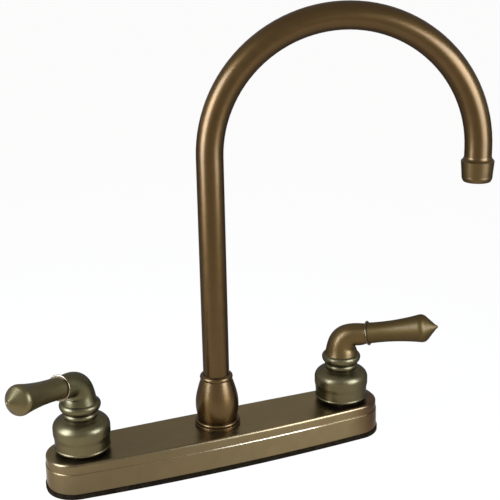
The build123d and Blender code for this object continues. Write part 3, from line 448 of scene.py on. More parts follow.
@dataclass(frozen=True)
class BronzeFinish(Finish):
    """Satin bronze under clear lacquer: slow drifts of tint, recesses darkened by patina and
    painted shade, rubbed edges.
    """

    metal: Colour
    patina: Colour
    worn: Colour = (0.30, 0.235, 0.145)
    rim: Colour = (0.20, 0.17, 0.13)
    roughness: float = 0.25
    turned: float = 0.0
    lacquer: float = 0.5
    gloss: float = 0.30
    # Colour left deep in recesses: oil-rubbed patina and painted shade together.
    patina_and_painted_shade: float = 0.6
    soften: float = 0.0
    lacquer_ior: float = 1.45
    cloud: Layer = Layer(30 * MM, 2.0, (0.34, 0.66), RISING, 0.6)
    fleck: Layer = Layer(7.0 * MM, 4.0, NOISE_SPAN, (0.97, 1.03), 0.4)
    scuff: Layer = Layer(1.3 * MM, 4.0, (0.4, 0.6), (0.1, 0.55))
    sheen: Layer = Layer(5.0 * MM, 3.0, NOISE_SPAN, (-0.025, 0.025))
    grain: Relief = Relief(0.6 * MM, 3.0, 0.03, 0.03 * MM)
    wave: Relief = Relief(12.0 * MM, 1.0, 0.06, 0.2 * MM)
    pocket: float = 2.0 * MM
    pocket_span: Span = (0.2, 0.8)
    edge_span: Span = (0.88, 0.99)

    def shade(self, graph: Graph) -> Socket:
        """Adds the nodes of the bronze and its lacquer.

        Args:
            graph: the material's nodes.

        Returns:
            The shader's socket.
        """
        place = graph.place()
        tint = graph.blend(graph.layer(place, self.cloud), self.metal, self.patina)
        tint = graph.tone(tint, graph.layer(place, self.fleck))
        # Painted shade and patina: recesses and gaps between parts darkened by ambient occlusion.
        openness = graph.recess(self.pocket)
        tint = graph.tone(tint, graph.remap(openness, self.pocket_span, (self.patina_and_painted_shade, 1.0)))
        rubbed = graph.product(graph.edges(self.edge_span), graph.layer(place, self.scuff))
        tint = self.marks(graph, place, graph.blend(rubbed, tint, self.worn))
        base = graph.rounded(self.soften, SOFT_SAMPLES) if self.soften else None
        grain = graph.relief(place, self.grain, base)
        shader = graph.add(
            "ShaderNodeBsdfPrincipled",
            {
                "Base Color": tint,
                "Metallic": 1.0,
                "Roughness": graph.layer(place, self.sheen.raised(self.roughness)),
                "Specular Tint": (*self.rim, 1.0),
                "Coat Weight": self.lacquer,
                "Coat Roughness": self.gloss,
                "Coat IOR": self.lacquer_ior,
                "Normal": graph.relief(place, self.wave, grain),
            },
        )
        if self.turned:
            tangent = graph.add("ShaderNodeTangent", direction_type="RADIAL", axis="Z")
            shader.inputs["Anisotropic"].default_value = self.turned
            shader.inputs["Anisotropic Rotation"].default_value = QUARTER_TURN
            graph.tree.links.new(tangent.outputs[0], shader.inputs["Tangent"])
        return shader.outputs[0]

    def marks(self, graph: Graph, place: Socket, tint: Socket) -> Socket:
        """Adds the marks that only one piece has, which is none here.

        Args:
            graph: the material's nodes.
            place: the place on the piece.
            tint: the metal's colour so far.

        Returns:
            The colour with the marks.
        """
        return tint


@dataclass(frozen=True)
class PlateFinish(BronzeFinish):
    """The deck plate's bronze: painted light along it, a redder end with painted shade by the cold
    handle, and a painted highlight on its ledge in front.
    """

    # Painted light: the plate is darker towards the hot end and brighter towards the cold end.
    painted_light_span: Span = (-0.10, 0.08)
    painted_light_levels: Span = (0.79, 1.12)
    # A redder tint with painted shade at the cold end, laid in blotches.
    red_tint_and_shade: Colour = (0.058, 0.024, 0.004)
    red_shade_span: Span = (0.094, 0.119)
    red_shade_blotch: Layer = Layer(9.0 * MM, 3.0, NOISE_SPAN, (0.85, 1.0))
    ledge_height: float = 18.4 * MM
    ledge_reach: float = 0.40 * MM
    # Painted highlight: the glint on the ledge's edge in front, broken into dots.
    bright: Colour = (0.52, 0.445, 0.325)
    bright_from: Span = (-0.024, 0.006)
    bright_to: Span = (0.060, 0.078)
    bright_front: Span = (-0.021, -0.018)
    glint_breakup: Layer = Layer(2.2 * MM, 2.0, (0.35, 0.60), (0.55, 1.0))
    # Painted shade on the ledge beyond the painted highlight, towards the cold end.
    painted_ledge_shade: float = 0.50

    def marks(self, graph: Graph, place: Socket, tint: Socket) -> Socket:
        """Adds the painted light along the plate, the redder end with painted shade, the painted
        highlight on the ledge in front and painted shade on the ledge beyond it.

        Args:
            graph: the material's nodes.
            place: the place on the piece.
            tint: the metal's colour so far.

        Returns:
            The colour with the marks.
        """
        parts = graph.add("ShaderNodeSeparateXYZ", {0: place}).outputs
        # Painted light: darker towards the hot end, brighter towards the cold end.
        tint = graph.tone(tint, graph.remap(parts["X"], self.painted_light_span, self.painted_light_levels))
        # Redder tint and painted shade towards the cold end.
        end = graph.remap(parts["X"], self.red_shade_span)
        tint = graph.blend(graph.product(graph.layer(place, self.red_shade_blotch), end), tint, self.red_tint_and_shade)
        off = graph.math("ABSOLUTE", graph.math("SUBTRACT", parts["Z"], self.ledge_height))
        line = graph.remap(off, (0.5 * self.ledge_reach, self.ledge_reach), FALLING)
        beyond = graph.remap(parts["X"], self.bright_to)
        # Painted shade: the ledge darkened beyond the painted highlight.
        tint = graph.tone(tint, graph.remap(graph.product(line, beyond), RISING, (1.0, self.painted_ledge_shade)))
        # Painted highlight along the ledge in front, between bright_from and bright_to.
        share = graph.product(
            line,
            graph.remap(parts["Y"], self.bright_front, FALLING),
            graph.remap(parts["X"], self.bright_from),
            graph.math("SUBTRACT", 1.0, beyond),
            graph.layer(place, self.glint_breakup),
        )
        return graph.blend(share, tint, self.bright)


@dataclass(frozen=True)
class MachinedFinish(Finish):
    """Turned or drawn bare metal: fine tool lines, a little tarnish, bright edges."""

    metal: Colour
    tarnish: Colour
    roughness: float = 0.28
    line: float = 0.35 * MM
    line_scale: float = 0.16
    line_waver: float = 1.2
    line_detail: float = 2.0
    line_detail_scale: float = 2.0
    line_depth: float = 0.12
    cloud: Layer = Layer(7 * MM, 5.0, (0.38, 0.68), RISING, 0.8)
    sheen: Layer = Layer(2.0 * MM, 4.0, NOISE_SPAN, (-0.06, 0.10))
    edge_span: Span = (0.85, 0.98)
    edge_share: float = 0.5
    edge_gain: float = 1.25

    def shade(self, graph: Graph) -> Socket:
        """Adds the nodes of the bare metal.

        Args:
            graph: the material's nodes.

        Returns:
            The shader's socket.
        """
        place = graph.place()
        tint = graph.blend(graph.layer(place, self.cloud), self.metal, self.tarnish)
        polished = tuple(min(1.0, self.edge_gain * part) for part in self.metal)
        bare = graph.product(graph.edges(self.edge_span), self.edge_share)
        tint = graph.blend(bare, tint, polished)
        lines = graph.add(
            "ShaderNodeTexWave",
            {
                "Vector": place,
                "Scale": self.line_scale / self.line,
                "Distortion": self.line_waver,
                "Detail": self.line_detail,
                "Detail Scale": self.line_detail_scale,
            },
            wave_type="BANDS",
            bands_direction="Z",
        )
        shader = graph.add(
            "ShaderNodeBsdfPrincipled",
            {
                "Base Color": tint,
                "Metallic": 1.0,
                "Roughness": graph.layer(place, self.sheen.raised(self.roughness)),
                "Normal": graph.bump(lines.outputs["Fac"], self.line_depth, FINE_RELIEF),
            },
        )
        return shader.outputs[0]


@dataclass(frozen=True)
class MouldedFinish(Finish):
    """Rubber, acetal or ceramic: a fine grain, a dusty drift of tone and slightly paler edges."""

    body: Colour
    dust: Colour
    roughness: float
    grain: float = 0.5 * MM
    grain_detail: float = 3.0
    grain_depth: float = 0.25
    specular: float = 0.5
    cloud: Layer = Layer(6 * MM, 5.0, (0.35, 0.7), (0.0, 0.7), 0.5)
    sheen: Layer = Layer(1.5 * MM, 3.0, NOISE_SPAN, (-0.05, 0.08))
    edge_span: Span = (0.85, 0.98)
    edge_share: float = 0.6

    def shade(self, graph: Graph) -> Socket:
        """Adds the nodes of the moulded stuff.

        Args:
            graph: the material's nodes.

        Returns:
            The shader's socket.
        """
        place = graph.place()
        tint = graph.blend(graph.layer(place, self.cloud), self.body, self.dust)
        bare = graph.product(graph.edges(self.edge_span), self.edge_share)
        tint = graph.blend(bare, tint, self.dust)
        grain = Relief(self.grain, self.grain_detail, self.grain_depth, FINE_RELIEF)
        shader = graph.add(
            "ShaderNodeBsdfPrincipled",
            {
                "Base Color": tint,
                "Metallic": 0.0,
                "Roughness": graph.layer(place, self.sheen.raised(self.roughness)),
                "Specular IOR Level": self.specular,
                "Normal": graph.relief(place, grain),
            },
        )
        return shader.outputs[0]


PLATE_BRONZE = PlateFinish(
    "plate_bronze",
    metal=(0.166, 0.121, 0.056),
    patina=(0.152, 0.115, 0.054),
    rim=(0.48, 0.43, 0.35),
    roughness=0.32,
    turned=0.4,
    patina_and_painted_shade=0.9,
    soften=0.9 * MM,
)
TUBE_BRONZE = BronzeFinish(
    "tube_bronze",
    metal=(0.078, 0.042, 0.0090),
    patina=(0.072, 0.039, 0.0083),
    rim=(0.30, 0.27, 0.22),
    roughness=0.35,
    gloss=0.25,
)
TRIM_BRONZE = BronzeFinish(
    "trim_bronze",
    metal=(0.092, 0.052, 0.0135),
    patina=(0.086, 0.049, 0.0125),
    rim=(0.30, 0.275, 0.235),
    roughness=0.36,
    turned=0.5,
    gloss=0.26,
)
AERATOR_BRONZE = BronzeFinish(
    "aerator_bronze",
    metal=(0.092, 0.056, 0.0150),
    patina=(0.085, 0.052, 0.0135),
    rim=(0.30, 0.27, 0.22),
    roughness=0.36,
)
OLIVE_BRONZE = BronzeFinish(
    "olive_bronze",
    metal=(0.103, 0.086, 0.040),
    patina=(0.093, 0.080, 0.037),
    rim=(0.14, 0.125, 0.085),
    roughness=0.37,
    lacquer=0.4,
)
HOT_ELBOW_BRONZE = BronzeFinish(
    "hot_elbow_bronze",
    metal=(0.082, 0.070, 0.026),
    patina=(0.074, 0.064, 0.024),
    roughness=0.39,
    turned=0.3,
)
# Lit copy of the grip bronze for the hot side: painted light.
HOT_LIT_GRIP_BRONZE = BronzeFinish(
    "hot_lit_grip_bronze",
    metal=(0.116, 0.091, 0.036),
    patina=(0.106, 0.085, 0.033),
    roughness=0.40,
)
COLD_ELBOW_BRONZE = BronzeFinish(
    "cold_elbow_bronze",
    metal=(0.106, 0.066, 0.020),
    patina=(0.096, 0.060, 0.018),
    roughness=0.42,
    turned=0.3,
    lacquer=0.4,
)
# Shaded, rougher copy of the grip bronze for the cold side: painted shade.
COLD_SHADED_GRIP_BRONZE = BronzeFinish(
    "cold_shaded_grip_bronze",
    metal=(0.082, 0.054, 0.0165),
    patina=(0.075, 0.050, 0.0150),
    roughness=0.54,
    lacquer=0.25,
)
# Lit copy of the ring bronze for the hot side: painted light.
RING_BRONZE = BronzeFinish(
    "ring_bronze",
    metal=(0.200, 0.155, 0.095),
    patina=(0.170, 0.130, 0.078),
    roughness=0.20,
    lacquer=1.0,
    gloss=0.15,
)
# Shaded copy of the same ring bronze for the cold side: painted shade.
SHADED_RING_BRONZE = BronzeFinish(
    "shaded_ring_bronze",
    metal=(0.090, 0.060, 0.024),
    patina=(0.080, 0.054, 0.021),
    worn=(0.12, 0.09, 0.05),
    rim=(0.10, 0.08, 0.05),
    roughness=0.26,
    lacquer=1.0,
    gloss=0.12,
)
CASTING_BRASS = MachinedFinish(
    "casting_brass", metal=(0.60, 0.42, 0.17), tarnish=(0.38, 0.24, 0.10), roughness=0.30
)
DIPPED_BRASS = MachinedFinish(
    "dipped_brass", metal=(0.040, 0.029, 0.017), tarnish=(0.026, 0.019, 0.012), roughness=0.48
)
WATER_COPPER = MachinedFinish(
    "water_copper", metal=(0.70, 0.33, 0.18), tarnish=(0.42, 0.19, 0.10), roughness=0.26
)
WASHER_ZINC = MachinedFinish(
    "washer_zinc", metal=(0.55, 0.54, 0.50), tarnish=(0.40, 0.38, 0.33), roughness=0.34
)
SPRING_STEEL = MachinedFinish(
    "bright_steel", metal=(0.42, 0.42, 0.42), tarnish=(0.25, 0.24, 0.23), roughness=0.25
)
BLACK_RUBBER = MouldedFinish(
    "gasket_rubber",
    body=(0.006, 0.004, 0.002),
    dust=(0.014, 0.010, 0.005),
    roughness=0.75,
    specular=0.02,
)
WHITE_ACETAL = MouldedFinish(
    "white_acetal",
    body=(0.72, 0.71, 0.66),
    dust=(0.60, 0.58, 0.52),
    roughness=0.38,
    grain_depth=0.1,
)
VALVE_CERAMIC = MouldedFinish(
    "valve_ceramic",
    body=(0.80, 0.79, 0.76),
    dust=(0.70, 0.69, 0.66),
    roughness=0.16,
    grain_depth=0.05,
)


def dress(frame: dict, finish: Finish, *nodes: str) -> None:
    """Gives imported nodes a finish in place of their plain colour.

    Args:
        finish: the finish they get.
        *nodes: the nodes' names.
    """
    material = finish.material()
    for name in nodes:
        mesh = frame["nodes"][name].data
        mesh.materials.clear()
        mesh.materials.append(material)
        LOG.info("node %s finished in %s", name, finish.name)


# ---------------------------------------------------------------- turned meshes
@dataclass
class TurnedMesh:
    """A closed mesh that is made ring by ring, up the outside and down the bore."""

    origin: Point
    along: Point = (0.0, 0.0, 1.0)
    segments: int = 72
    rings: list[tuple[float, list[float]]] = field(default_factory=list)

    def angles(self) -> list[float]:
        """Spreads the points of a ring.

        Returns:
            Their angles, in radians.
        """
        return [2.0 * math.pi * step / self.segments for step in range(self.segments)]

    def ring(self, station: float, radius: float | RadiusAt) -> None:
        """Adds a ring.

        Args:
            station: its place along the axis, in metres from the origin.
            radius: its radius, or what gives the radius for an angle.
        """
        radii = [radius(angle) if callable(radius) else radius for angle in self.angles()]
        self.rings.append((station, radii))

    def build(self, name: str) -> bpy.types.Object:
        """Joins the rings, the last one to the first, into an object.

        Args:
            name: the object's name.

        Returns:
            The new object, at the origin of the frame.
        """
        axis = Vector(self.along).normalized()
        upright = abs(axis.z) > abs(axis.x)
        across = Vector((1.0, 0.0, 0.0)) if upright else Vector((0.0, 1.0, 0.0))
        third = axis.cross(across)
        points, faces, count = [], [], self.segments
        for station, radii in self.rings:
            centre = Vector(self.origin) + axis * station
            for angle, radius in zip(self.angles(), radii):
                outward = across * math.cos(angle) + third * math.sin(angle)
                points.append(centre + outward * radius)
        total = len(self.rings)
        for row in range(total):
            near, far = row * count, (row + 1) % total * count
            for step in range(count):
                after = (step + 1) % count
                faces.append((near + step, near + after, far + after, far + step))
        mesh = bpy.data.meshes.new(name)
        mesh.from_pydata(points, [], faces)
        mesh.validate()
        mesh.polygons.foreach_set("use_smooth", [True] * len(mesh.polygons))
        mesh.set_sharp_from_angle(angle=SHARP_ANGLE)
        piece = bpy.data.objects.new(name, mesh)
        bpy.context.scene.collection.objects.link(piece)
        return piece


@dataclass(frozen=True)
class PipeThread:
    """A straight 1/2-14 pipe thread, cut as a groove that winds round a cylinder."""

    crest: float = 10.45 * MM
    depth: float = 0.85 * MM
    pitch: float = 1.814 * MM
    fade: float = 0.9 * MM
    rows: int = 12
    flank: float = 1.25
    crest_flat: float = 0.12

    def cut(self, turned: TurnedMesh, low: float, high: float) -> None:
        """Adds the rings of a threaded length to a mesh.

        Args:
            turned: the mesh that is being made.
            low: where the thread starts.
            high: where it ends.
        """
        count = max(2, round((high - low) / self.pitch * self.rows))
        for row in range(count + 1):
            height = low + (high - low) * row / count
            ends = min(height - low, high - height) / self.fade
            turned.ring(height, lambda angle, z=height, e=ends: self.radius(z, angle, min(1.0, e)))

    def radius(self, height: float, angle: float, share: float) -> float:
        """The radius at a point of the thread.

        Args:
            height: place along the axis.
            angle: angle round it.
            share: how much of the full depth the thread has there.

        Returns:
            The radius, in metres.
        """
        turn = (height / self.pitch - angle / (2.0 * math.pi)) % 1.0
        groove = min(1.0, max(0.0, self.flank * abs(2.0 * turn - 1.0) - self.crest_flat))
        return self.crest - self.depth * share * groove


# ---------------------------------------------------------------- sub-assemblies
@dataclass
class Deck:
    """The plate with its gasket, and the spout's fixed parts: body, rings and hub."""

    frame: dict

    def dress(self) -> None:
        """Finishes every fixed piece on the swivel's axis."""
        dress(self.frame, PLATE_BRONZE, "deck_plate")
        dress(self.frame, BLACK_RUBBER, "deck_gasket")
        dress(self.frame, TRIM_BRONZE, "spout_trim_ring", "spout_hub")
        dress(self.frame, CASTING_BRASS, "spout_body")
        dress(self.frame, WHITE_ACETAL, "spout_thrust_washer")
        dress(self.frame, SPRING_STEEL, "spout_retaining_ring")


@dataclass
class Spout:
    """The swivelling tube with its plug, collar and aerator."""

    frame: dict

    def dress(self) -> None:
        """Finishes every piece that swivels."""
        dress(self.frame, TUBE_BRONZE, "spout_tube", "outlet_collar")
        dress(self.frame, AERATOR_BRONZE, "aerator_shell")
        dress(self.frame, CASTING_BRASS, "spout_plug")
        dress(self.frame, BLACK_RUBBER, "spout_orings", "aerator_washer")
        dress(self.frame, WHITE_ACETAL, "aerator_insert")
        dress(self.frame, SPRING_STEEL, "aerator_screen")


@dataclass
class Valve:
    """One side's casting, cartridge, nuts and washer."""

    frame: dict
    side: Side
    shank_foot: float = -50.0 * MM
    foot_chamfer: float = 1.0 * MM
    relief_levels: Span = (-34.0 * MM, -32.0 * MM)
    relief_radius: float = 9.25 * MM
    body_low: float = 3.2 * MM
    body_high: float = 23.5 * MM
    neck_high: float = 36.0 * MM
    body_radius: float = 13.5 * MM
    neck_radius: float = 12.0 * MM
    chamber_radius: float = 9.0 * MM
    chamber_floor: float = 8.0 * MM
    bore_radius: float = 6.35 * MM
    edge: float = 0.4 * MM
    port_height: float = 18.0 * MM
    port: tuple[Span, ...] = (
        (5.0 * MM, 3.8 * MM),
        (10.5 * MM, 3.8 * MM),
        (10.5 * MM, 4.8 * MM),
        (16.0 * MM, 4.8 * MM),
    )
    port_segments: int = 48
    port_tip: float = 0.05 * MM
    nut_levels: tuple[float, float, float] = (-22.6 * MM, -15.6 * MM, -13.6 * MM)
    nut_corner: float = 17.0 * MM
    nut_face: float = 14.9 * MM
    nut_bore: float = 10.55 * MM
    nut_segments: int = 96
    chamfer_slope: float = 0.577
    chamfer_steps: int = 6

    def build(self) -> None:
        """Builds the threaded casting and the chamfered mounting nut."""
        word = self.side.word
        pieces = (
            (self.casting(), f"{word}_valve_body"),
            (self.nut(), f"{word}_mounting_nut"),
        )
        for piece, node in pieces:
            piece.data.materials.append(CASTING_BRASS.material())
            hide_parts(node)
            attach(piece, "deck")
            LOG.info("built %s in place of %s", piece.name, node)

    def casting(self) -> bpy.types.Object:
        """Turns the valve body with its threaded shank and bores its water port.

        Returns:
            The casting's object.
        """
        thread = PipeThread()
        relief_low, relief_high = self.relief_levels
        turned = TurnedMesh((self.side.centre, 0.0, 0.0))
        turned.ring(self.shank_foot, thread.crest - self.foot_chamfer)
        thread.cut(turned, self.shank_foot + self.foot_chamfer, relief_low)
        turned.ring(relief_low, self.relief_radius)
        turned.ring(relief_high, self.relief_radius)
        thread.cut(turned, relief_high, self.body_low)
        outline = (
            (self.body_low, self.body_radius - self.edge),
            (self.body_low + self.edge, self.body_radius),
            (self.body_high - self.edge, self.body_radius),
            (self.body_high, self.body_radius - self.edge),
            (self.body_high, self.neck_radius),
            (self.neck_high - self.edge, self.neck_radius),
            (self.neck_high, self.neck_radius - self.edge),
            (self.neck_high, self.chamber_radius),
            (self.chamber_floor, self.chamber_radius),
            (self.chamber_floor, self.bore_radius),
            (self.shank_foot, self.bore_radius),
        )
        for height, radius in outline:
            turned.ring(height, radius)
        body = turned.build(f"{self.side.word}_threaded_casting")
        self.bore_port(body)
        return body

    def bore_port(self, body: bpy.types.Object) -> None:
        """Bores the stepped port that takes the water tube.

        Args:
            body: the casting, whose mesh gets the bore.
        """
        inward = (-float(self.side.value), 0.0, 0.0)
        drill = TurnedMesh((self.side.centre, 0.0, self.port_height), inward, self.port_segments)
        for station, radius in self.port:
            drill.ring(station, radius)
        drill.ring(self.port[-1][0], self.port_tip)
        drill.ring(self.port[0][0], self.port_tip)
        tool = drill.build("port_drill")
        bore = body.modifiers.new("port", "BOOLEAN")
        bore.operation, bore.solver, bore.object = "DIFFERENCE", "EXACT", tool
        ready = body.evaluated_get(bpy.context.evaluated_depsgraph_get())
        drilled = bpy.data.meshes.new_from_object(ready)
        body.modifiers.clear()
        body.data = drilled
        drilled.set_sharp_from_angle(angle=SHARP_ANGLE)
        bpy.data.objects.remove(tool)

    def hexagon(self, limit: float) -> RadiusAt:
        """Makes the outline of the nut's hexagon inside a round limit.

        Args:
            limit: the largest radius.

        Returns:
            What gives the radius for an angle.
        """
        sixth = math.pi / 3.0
        flat = self.nut_corner * math.cos(sixth / 2.0)
        return lambda angle: min(limit, flat / math.cos(angle % sixth - sixth / 2.0))

    def nut(self) -> bpy.types.Object:
        """Turns the mounting nut: a round flange above a hexagon with chamfered corners.

        Returns:
            The nut's object.
        """
        foot, shoulder, top = self.nut_levels
        turned = TurnedMesh((self.side.centre, 0.0, 0.0), segments=self.nut_segments)
        spread = self.nut_corner - self.nut_face
        for step in range(self.chamfer_steps + 1):
            rise = spread * self.chamfer_slope * step / self.chamfer_steps
            limit = self.nut_face + spread * step / self.chamfer_steps
            turned.ring(foot + rise, self.hexagon(limit))
        turned.ring(shoulder, self.hexagon(self.nut_corner))
        turned.ring(shoulder, self.nut_corner)
        turned.ring(top - self.edge, self.nut_corner)
        turned.ring(top, self.nut_corner - self.edge)
        turned.ring(top, self.nut_bore + self.edge)
        turned.ring(top - self.edge, self.nut_bore)
        turned.ring(foot + self.edge, self.nut_bore)
        turned.ring(foot, self.nut_bore + self.edge)
        return turned.build(f"{self.side.word}_chamfered_nut")

    def dress(self) -> None:
        """Finishes every fixed piece of the side, and what turns inside it."""
        word = self.side.word
        dress(self.frame, CASTING_BRASS, f"{word}_stem")
        dress(self.frame, DIPPED_BRASS, f"{word}_plate_nut", f"{word}_bonnet_nut")
        dress(self.frame, WASHER_ZINC, f"{word}_mounting_washer")
        dress(self.frame, WATER_COPPER, f"{word}_waterway_tube")
        dress(self.frame, BLACK_RUBBER, f"{word}_seat_seal", f"{word}_stem_orings")
        dress(self.frame, VALVE_CERAMIC, f"{word}_fixed_disc", f"{word}_turning_disc")
        dress(self.frame, WHITE_ACETAL, f"{word}_cartridge_body")


@dataclass
class Handle:
    """One side's turned bell with its teapot lever."""

    frame: dict
    side: Side

    def dress(self) -> None:
        """Finishes the bell, elbow, ring, grip and set screw."""
        word = self.side.word
        hot = self.side is Side.HOT
        dress(self.frame, OLIVE_BRONZE, f"{word}_handle_bell")
        dress(self.frame, HOT_ELBOW_BRONZE if hot else COLD_ELBOW_BRONZE, f"{word}_lever_elbow")
        # The hot ring takes the lit copy and the cold ring the shaded copy: painted light and
        # shade.
        dress(self.frame, RING_BRONZE if hot else SHADED_RING_BRONZE, f"{word}_lever_ring")
        # The hot grip takes the lit copy and the cold grip the shaded copy: painted light and
        # shade.
        dress(self.frame, HOT_LIT_GRIP_BRONZE if hot else COLD_SHADED_GRIP_BRONZE, f"{word}_lever_grip")
        dress(self.frame, SPRING_STEEL, f"{word}_set_screw")


# ---------------------------------------------------------------- studio
NEAR_SIDE: Point = (-0.78, -0.62, 0.0)
FAR_SIDE: Point = (0.87, 0.50, 0.0)
BACK_SIDE: Point = (0.0, 1.0, 0.0)
NEAR_LIGHT = 1.45


@dataclass(frozen=True)
class SoftBox:
    """One rectangular soft light with a grid in front, aimed at a point."""

    name: str
    place: Point
    aim: Point
    width: float
    height: float
    radiance: float
    half_spread: float = 1.4
    colour: Colour = (0.87, 0.975, 1.24)

    def build(self) -> None:
        """Hangs the light."""
        lamp = bpy.data.lights.new(self.name, "AREA")
        lamp.shape = "RECTANGLE"
        lamp.size, lamp.size_y = self.width, self.height
        grid = 1.0 - self.half_spread / math.tan(self.half_spread)
        lamp.spread = 2.0 * self.half_spread
        lamp.energy = self.radiance * math.pi * self.width * self.height * grid
        lamp.color = self.colour
        holder = bpy.data.objects.new(self.name, lamp)
        bpy.context.scene.collection.objects.link(holder)
        holder.location = self.place
        away = Vector(self.place) - Vector(self.aim)
        holder.rotation_euler = away.to_track_quat("Z", "Y").to_euler()
        holder.visible_camera = False


@dataclass(frozen=True)
class Fade:
    """How the floor that the metal mirrors changes along a direction, or outwards without one:
    painted light and painted shadow on the floor.
    """

    span: Span
    levels: Span
    towards: Point | None = None


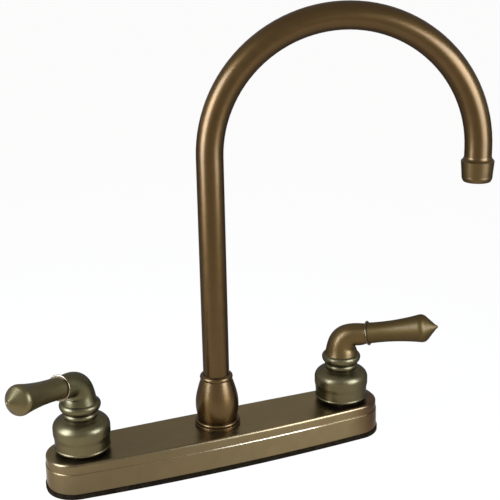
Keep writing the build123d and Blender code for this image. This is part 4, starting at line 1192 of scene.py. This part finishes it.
@dataclass(frozen=True)
class Studio:
    """White floor at the deck, painted with light and shadow where the metal mirrors it, a quiet
    room above it, and a soft box on either side.
    """

    floor_reach: float = 9.0
    floor_drop: float = 0.2 * MM
    floor_white: float = 0.93
    floor_grey: float = 0.86
    floor_tint: Colour = (1.0, 0.93, 0.82)
    # Painted on the floor for mirrored rays only: a pool of light by the left box, the faucet's
    # shadow to the right and behind, and a dimmer floor further out.
    floor_light_and_shadow: tuple[Fade, ...] = (
        Fade((0.105, 0.150), (1.05, NEAR_LIGHT), NEAR_SIDE),
        Fade((0.08, 0.17), (1.0, 0.50), FAR_SIDE),
        Fade((0.17, 0.30), (1.0, 1.0 / NEAR_LIGHT), NEAR_SIDE),
        Fade((0.02, 0.14), (1.0, 0.45), BACK_SIDE),
        Fade((0.30, 0.85), (1.0, 0.68)),
    )
    room_tint: Colour = (1.0, 0.99, 0.93)
    room: tuple[Span, ...] = (
        (0.0, 0.84),
        (0.17, 0.73),
        (0.42, 0.63),
        (0.62, 0.72),
        (0.92, 0.60),
        (1.0, 0.58),
    )
    dark_aim: Point = (0.95, 0.30, 0.0)
    dark_span: Span = (0.1, 0.9)
    dark_side: float = 0.85
    boxes: tuple[SoftBox, ...] = (
        SoftBox("right_box", (0.275, -0.350, 0.250), (0.0, 0.0, 0.10), 0.25, 0.32, 16.5, 0.90),
        SoftBox("left_box", (-0.450, -0.045, 0.290), (0.0, 0.0, 0.14), 0.26, 0.44, 15.5),
    )

    def build(self) -> None:
        """Lays the floor, paints the room and hangs the lights."""
        bpy.context.scene.view_settings.view_transform = "Standard"
        self.lay_floor()
        self.paint_room()
        for box in self.boxes:
            box.build()

    def lay_floor(self) -> None:
        """Lays the floor level with the sink's deck: plain white, with painted light and painted
        shadow where the metal mirrors it.
        """
        reach = self.floor_reach
        corners = [(-reach, -reach, 0), (reach, -reach, 0), (reach, reach, 0), (-reach, reach, 0)]
        mesh = bpy.data.meshes.new("studio_floor")
        mesh.from_pydata(corners, [], [(0, 1, 2, 3)])
        floor = bpy.data.objects.new("studio_floor", mesh)
        floor.location.z = -self.floor_drop
        bpy.context.scene.collection.objects.link(floor)
        material = bpy.data.materials.new("studio_floor")
        material.use_nodes = True
        graph = Graph(material.node_tree)
        rays = graph.add("ShaderNodeLightPath").outputs
        camera = rays["Is Camera Ray"]
        seen = graph.math("MAXIMUM", camera, rays["Is Glossy Ray"])
        seen = graph.math("MAXIMUM", seen, rays["Is Transmission Ray"])
        strength = graph.choose(camera, self.mirrored_floor_light(graph), 1.0)
        shade = graph.blend(camera, self.floor_tint, WHITE)
        plain = graph.add("ShaderNodeBsdfDiffuse", {"Color": (*[self.floor_grey] * 3, 1.0)})
        white = graph.add("ShaderNodeEmission", {"Color": shade, "Strength": strength})
        share = graph.product(seen, self.floor_white)
        mixed = graph.add(
            "ShaderNodeMixShader", {0: share, 1: plain.outputs[0], 2: white.outputs[0]}
        )
        graph.add("ShaderNodeOutputMaterial", {"Surface": mixed.outputs[0]})
        mesh.materials.append(material)

    def mirrored_floor_light(self, graph: Graph) -> Socket:
        """Joins the painted light and painted shadow of the floor that the metal mirrors.

        Args:
            graph: the floor's nodes.

        Returns:
            How bright each spot of the floor is in the metal, around 1.
        """
        spot = graph.place()
        shares = []
        for fade in self.floor_light_and_shadow:
            if fade.towards is None:
                outwards = graph.add("ShaderNodeVectorMath", {0: spot}, operation="LENGTH")
                where = outwards.outputs["Value"]
            else:
                where = graph.along(spot, fade.towards)
            shares.append(graph.remap(where, fade.span, fade.levels))
        return graph.product(*shares)

    def paint_room(self) -> None:
        """Paints the room: white behind the part, quieter overhead and on the dark side."""
        world = bpy.data.worlds.new("studio_room")
        world.use_nodes = True
        bpy.context.scene.world = world
        graph = Graph(world.node_tree)
        aim = graph.add("ShaderNodeTexCoord").outputs["Generated"]
        height = graph.add("ShaderNodeSeparateXYZ", {0: aim}).outputs["Z"]
        ramp = graph.add("ShaderNodeValToRGB", {"Fac": height})
        stops = ramp.color_ramp.elements
        while len(stops) < len(self.room):
            stops.new(0.5)
        for stop, (where, tone) in zip(stops, self.room):
            stop.position = where
            stop.color = (*(tone * part for part in self.room_tint), 1.0)
        side = graph.remap(graph.along(aim, self.dark_aim), self.dark_span, (1.0, self.dark_side))
        camera = graph.add("ShaderNodeLightPath").outputs["Is Camera Ray"]
        strength = graph.choose(camera, side, 1.0)
        shade = graph.blend(camera, ramp.outputs[0], WHITE)
        light = graph.add("ShaderNodeBackground", {"Color": shade, "Strength": strength})
        graph.add("ShaderNodeOutputWorld", {"Surface": light.outputs[0]})


@dataclass(frozen=True)
class PhotoCamera:
    """The camera that was fitted to the outlines in the photograph."""

    place: Point = (-0.24560, -0.67857, 0.38668)
    yaw: float = 0.3803
    pitch: float = 0.3091
    roll: float = -0.0205
    focal_pixels: float = 1077.9
    shift_pixels: Span = (-3.49, 2.89)
    image_pixels: int = 500
    sensor_mm: float = 36.0
    clip: Span = (0.01, 60.0)

    def build(self) -> bpy.types.Object:
        """Sets the camera up.

        Returns:
            The camera's object.
        """
        ahead = Vector(
            (
                math.sin(self.yaw) * math.cos(self.pitch),
                math.cos(self.yaw) * math.cos(self.pitch),
                -math.sin(self.pitch),
            )
        )
        level_right = Vector((math.cos(self.yaw), -math.sin(self.yaw), 0.0))
        level_up = level_right.cross(ahead)
        right = level_right * math.cos(self.roll) + level_up * math.sin(self.roll)
        up = level_up * math.cos(self.roll) - level_right * math.sin(self.roll)
        lens = bpy.data.cameras.new("photo_camera")
        lens.sensor_width = self.sensor_mm
        lens.lens = self.focal_pixels / self.image_pixels * self.sensor_mm
        lens.shift_x = -self.shift_pixels[0] / self.image_pixels
        lens.shift_y = self.shift_pixels[1] / self.image_pixels
        lens.clip_start, lens.clip_end = self.clip
        holder = bpy.data.objects.new("photo_camera", lens)
        bpy.context.scene.collection.objects.link(holder)
        turned = Matrix((right, up, -ahead)).transposed().to_4x4()
        holder.matrix_world = Matrix.Translation(self.place) @ turned
        bpy.context.scene.camera = holder
        return holder


def main() -> None:
    """Loads the frame and builds every sub-assembly round it."""
    logging.basicConfig(level=logging.INFO, format="%(name)s: %(message)s")
    for leftover in list(bpy.data.objects):
        bpy.data.objects.remove(leftover)
    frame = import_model()
    PhotoCamera().build()
    Studio().build()
    Deck(frame).dress()
    Spout(frame).dress()
    for side in Side:
        valve = Valve(frame, side)
        valve.build()
        valve.dress()
        Handle(frame, side).dress()


if __name__ == "__main__":
    main()
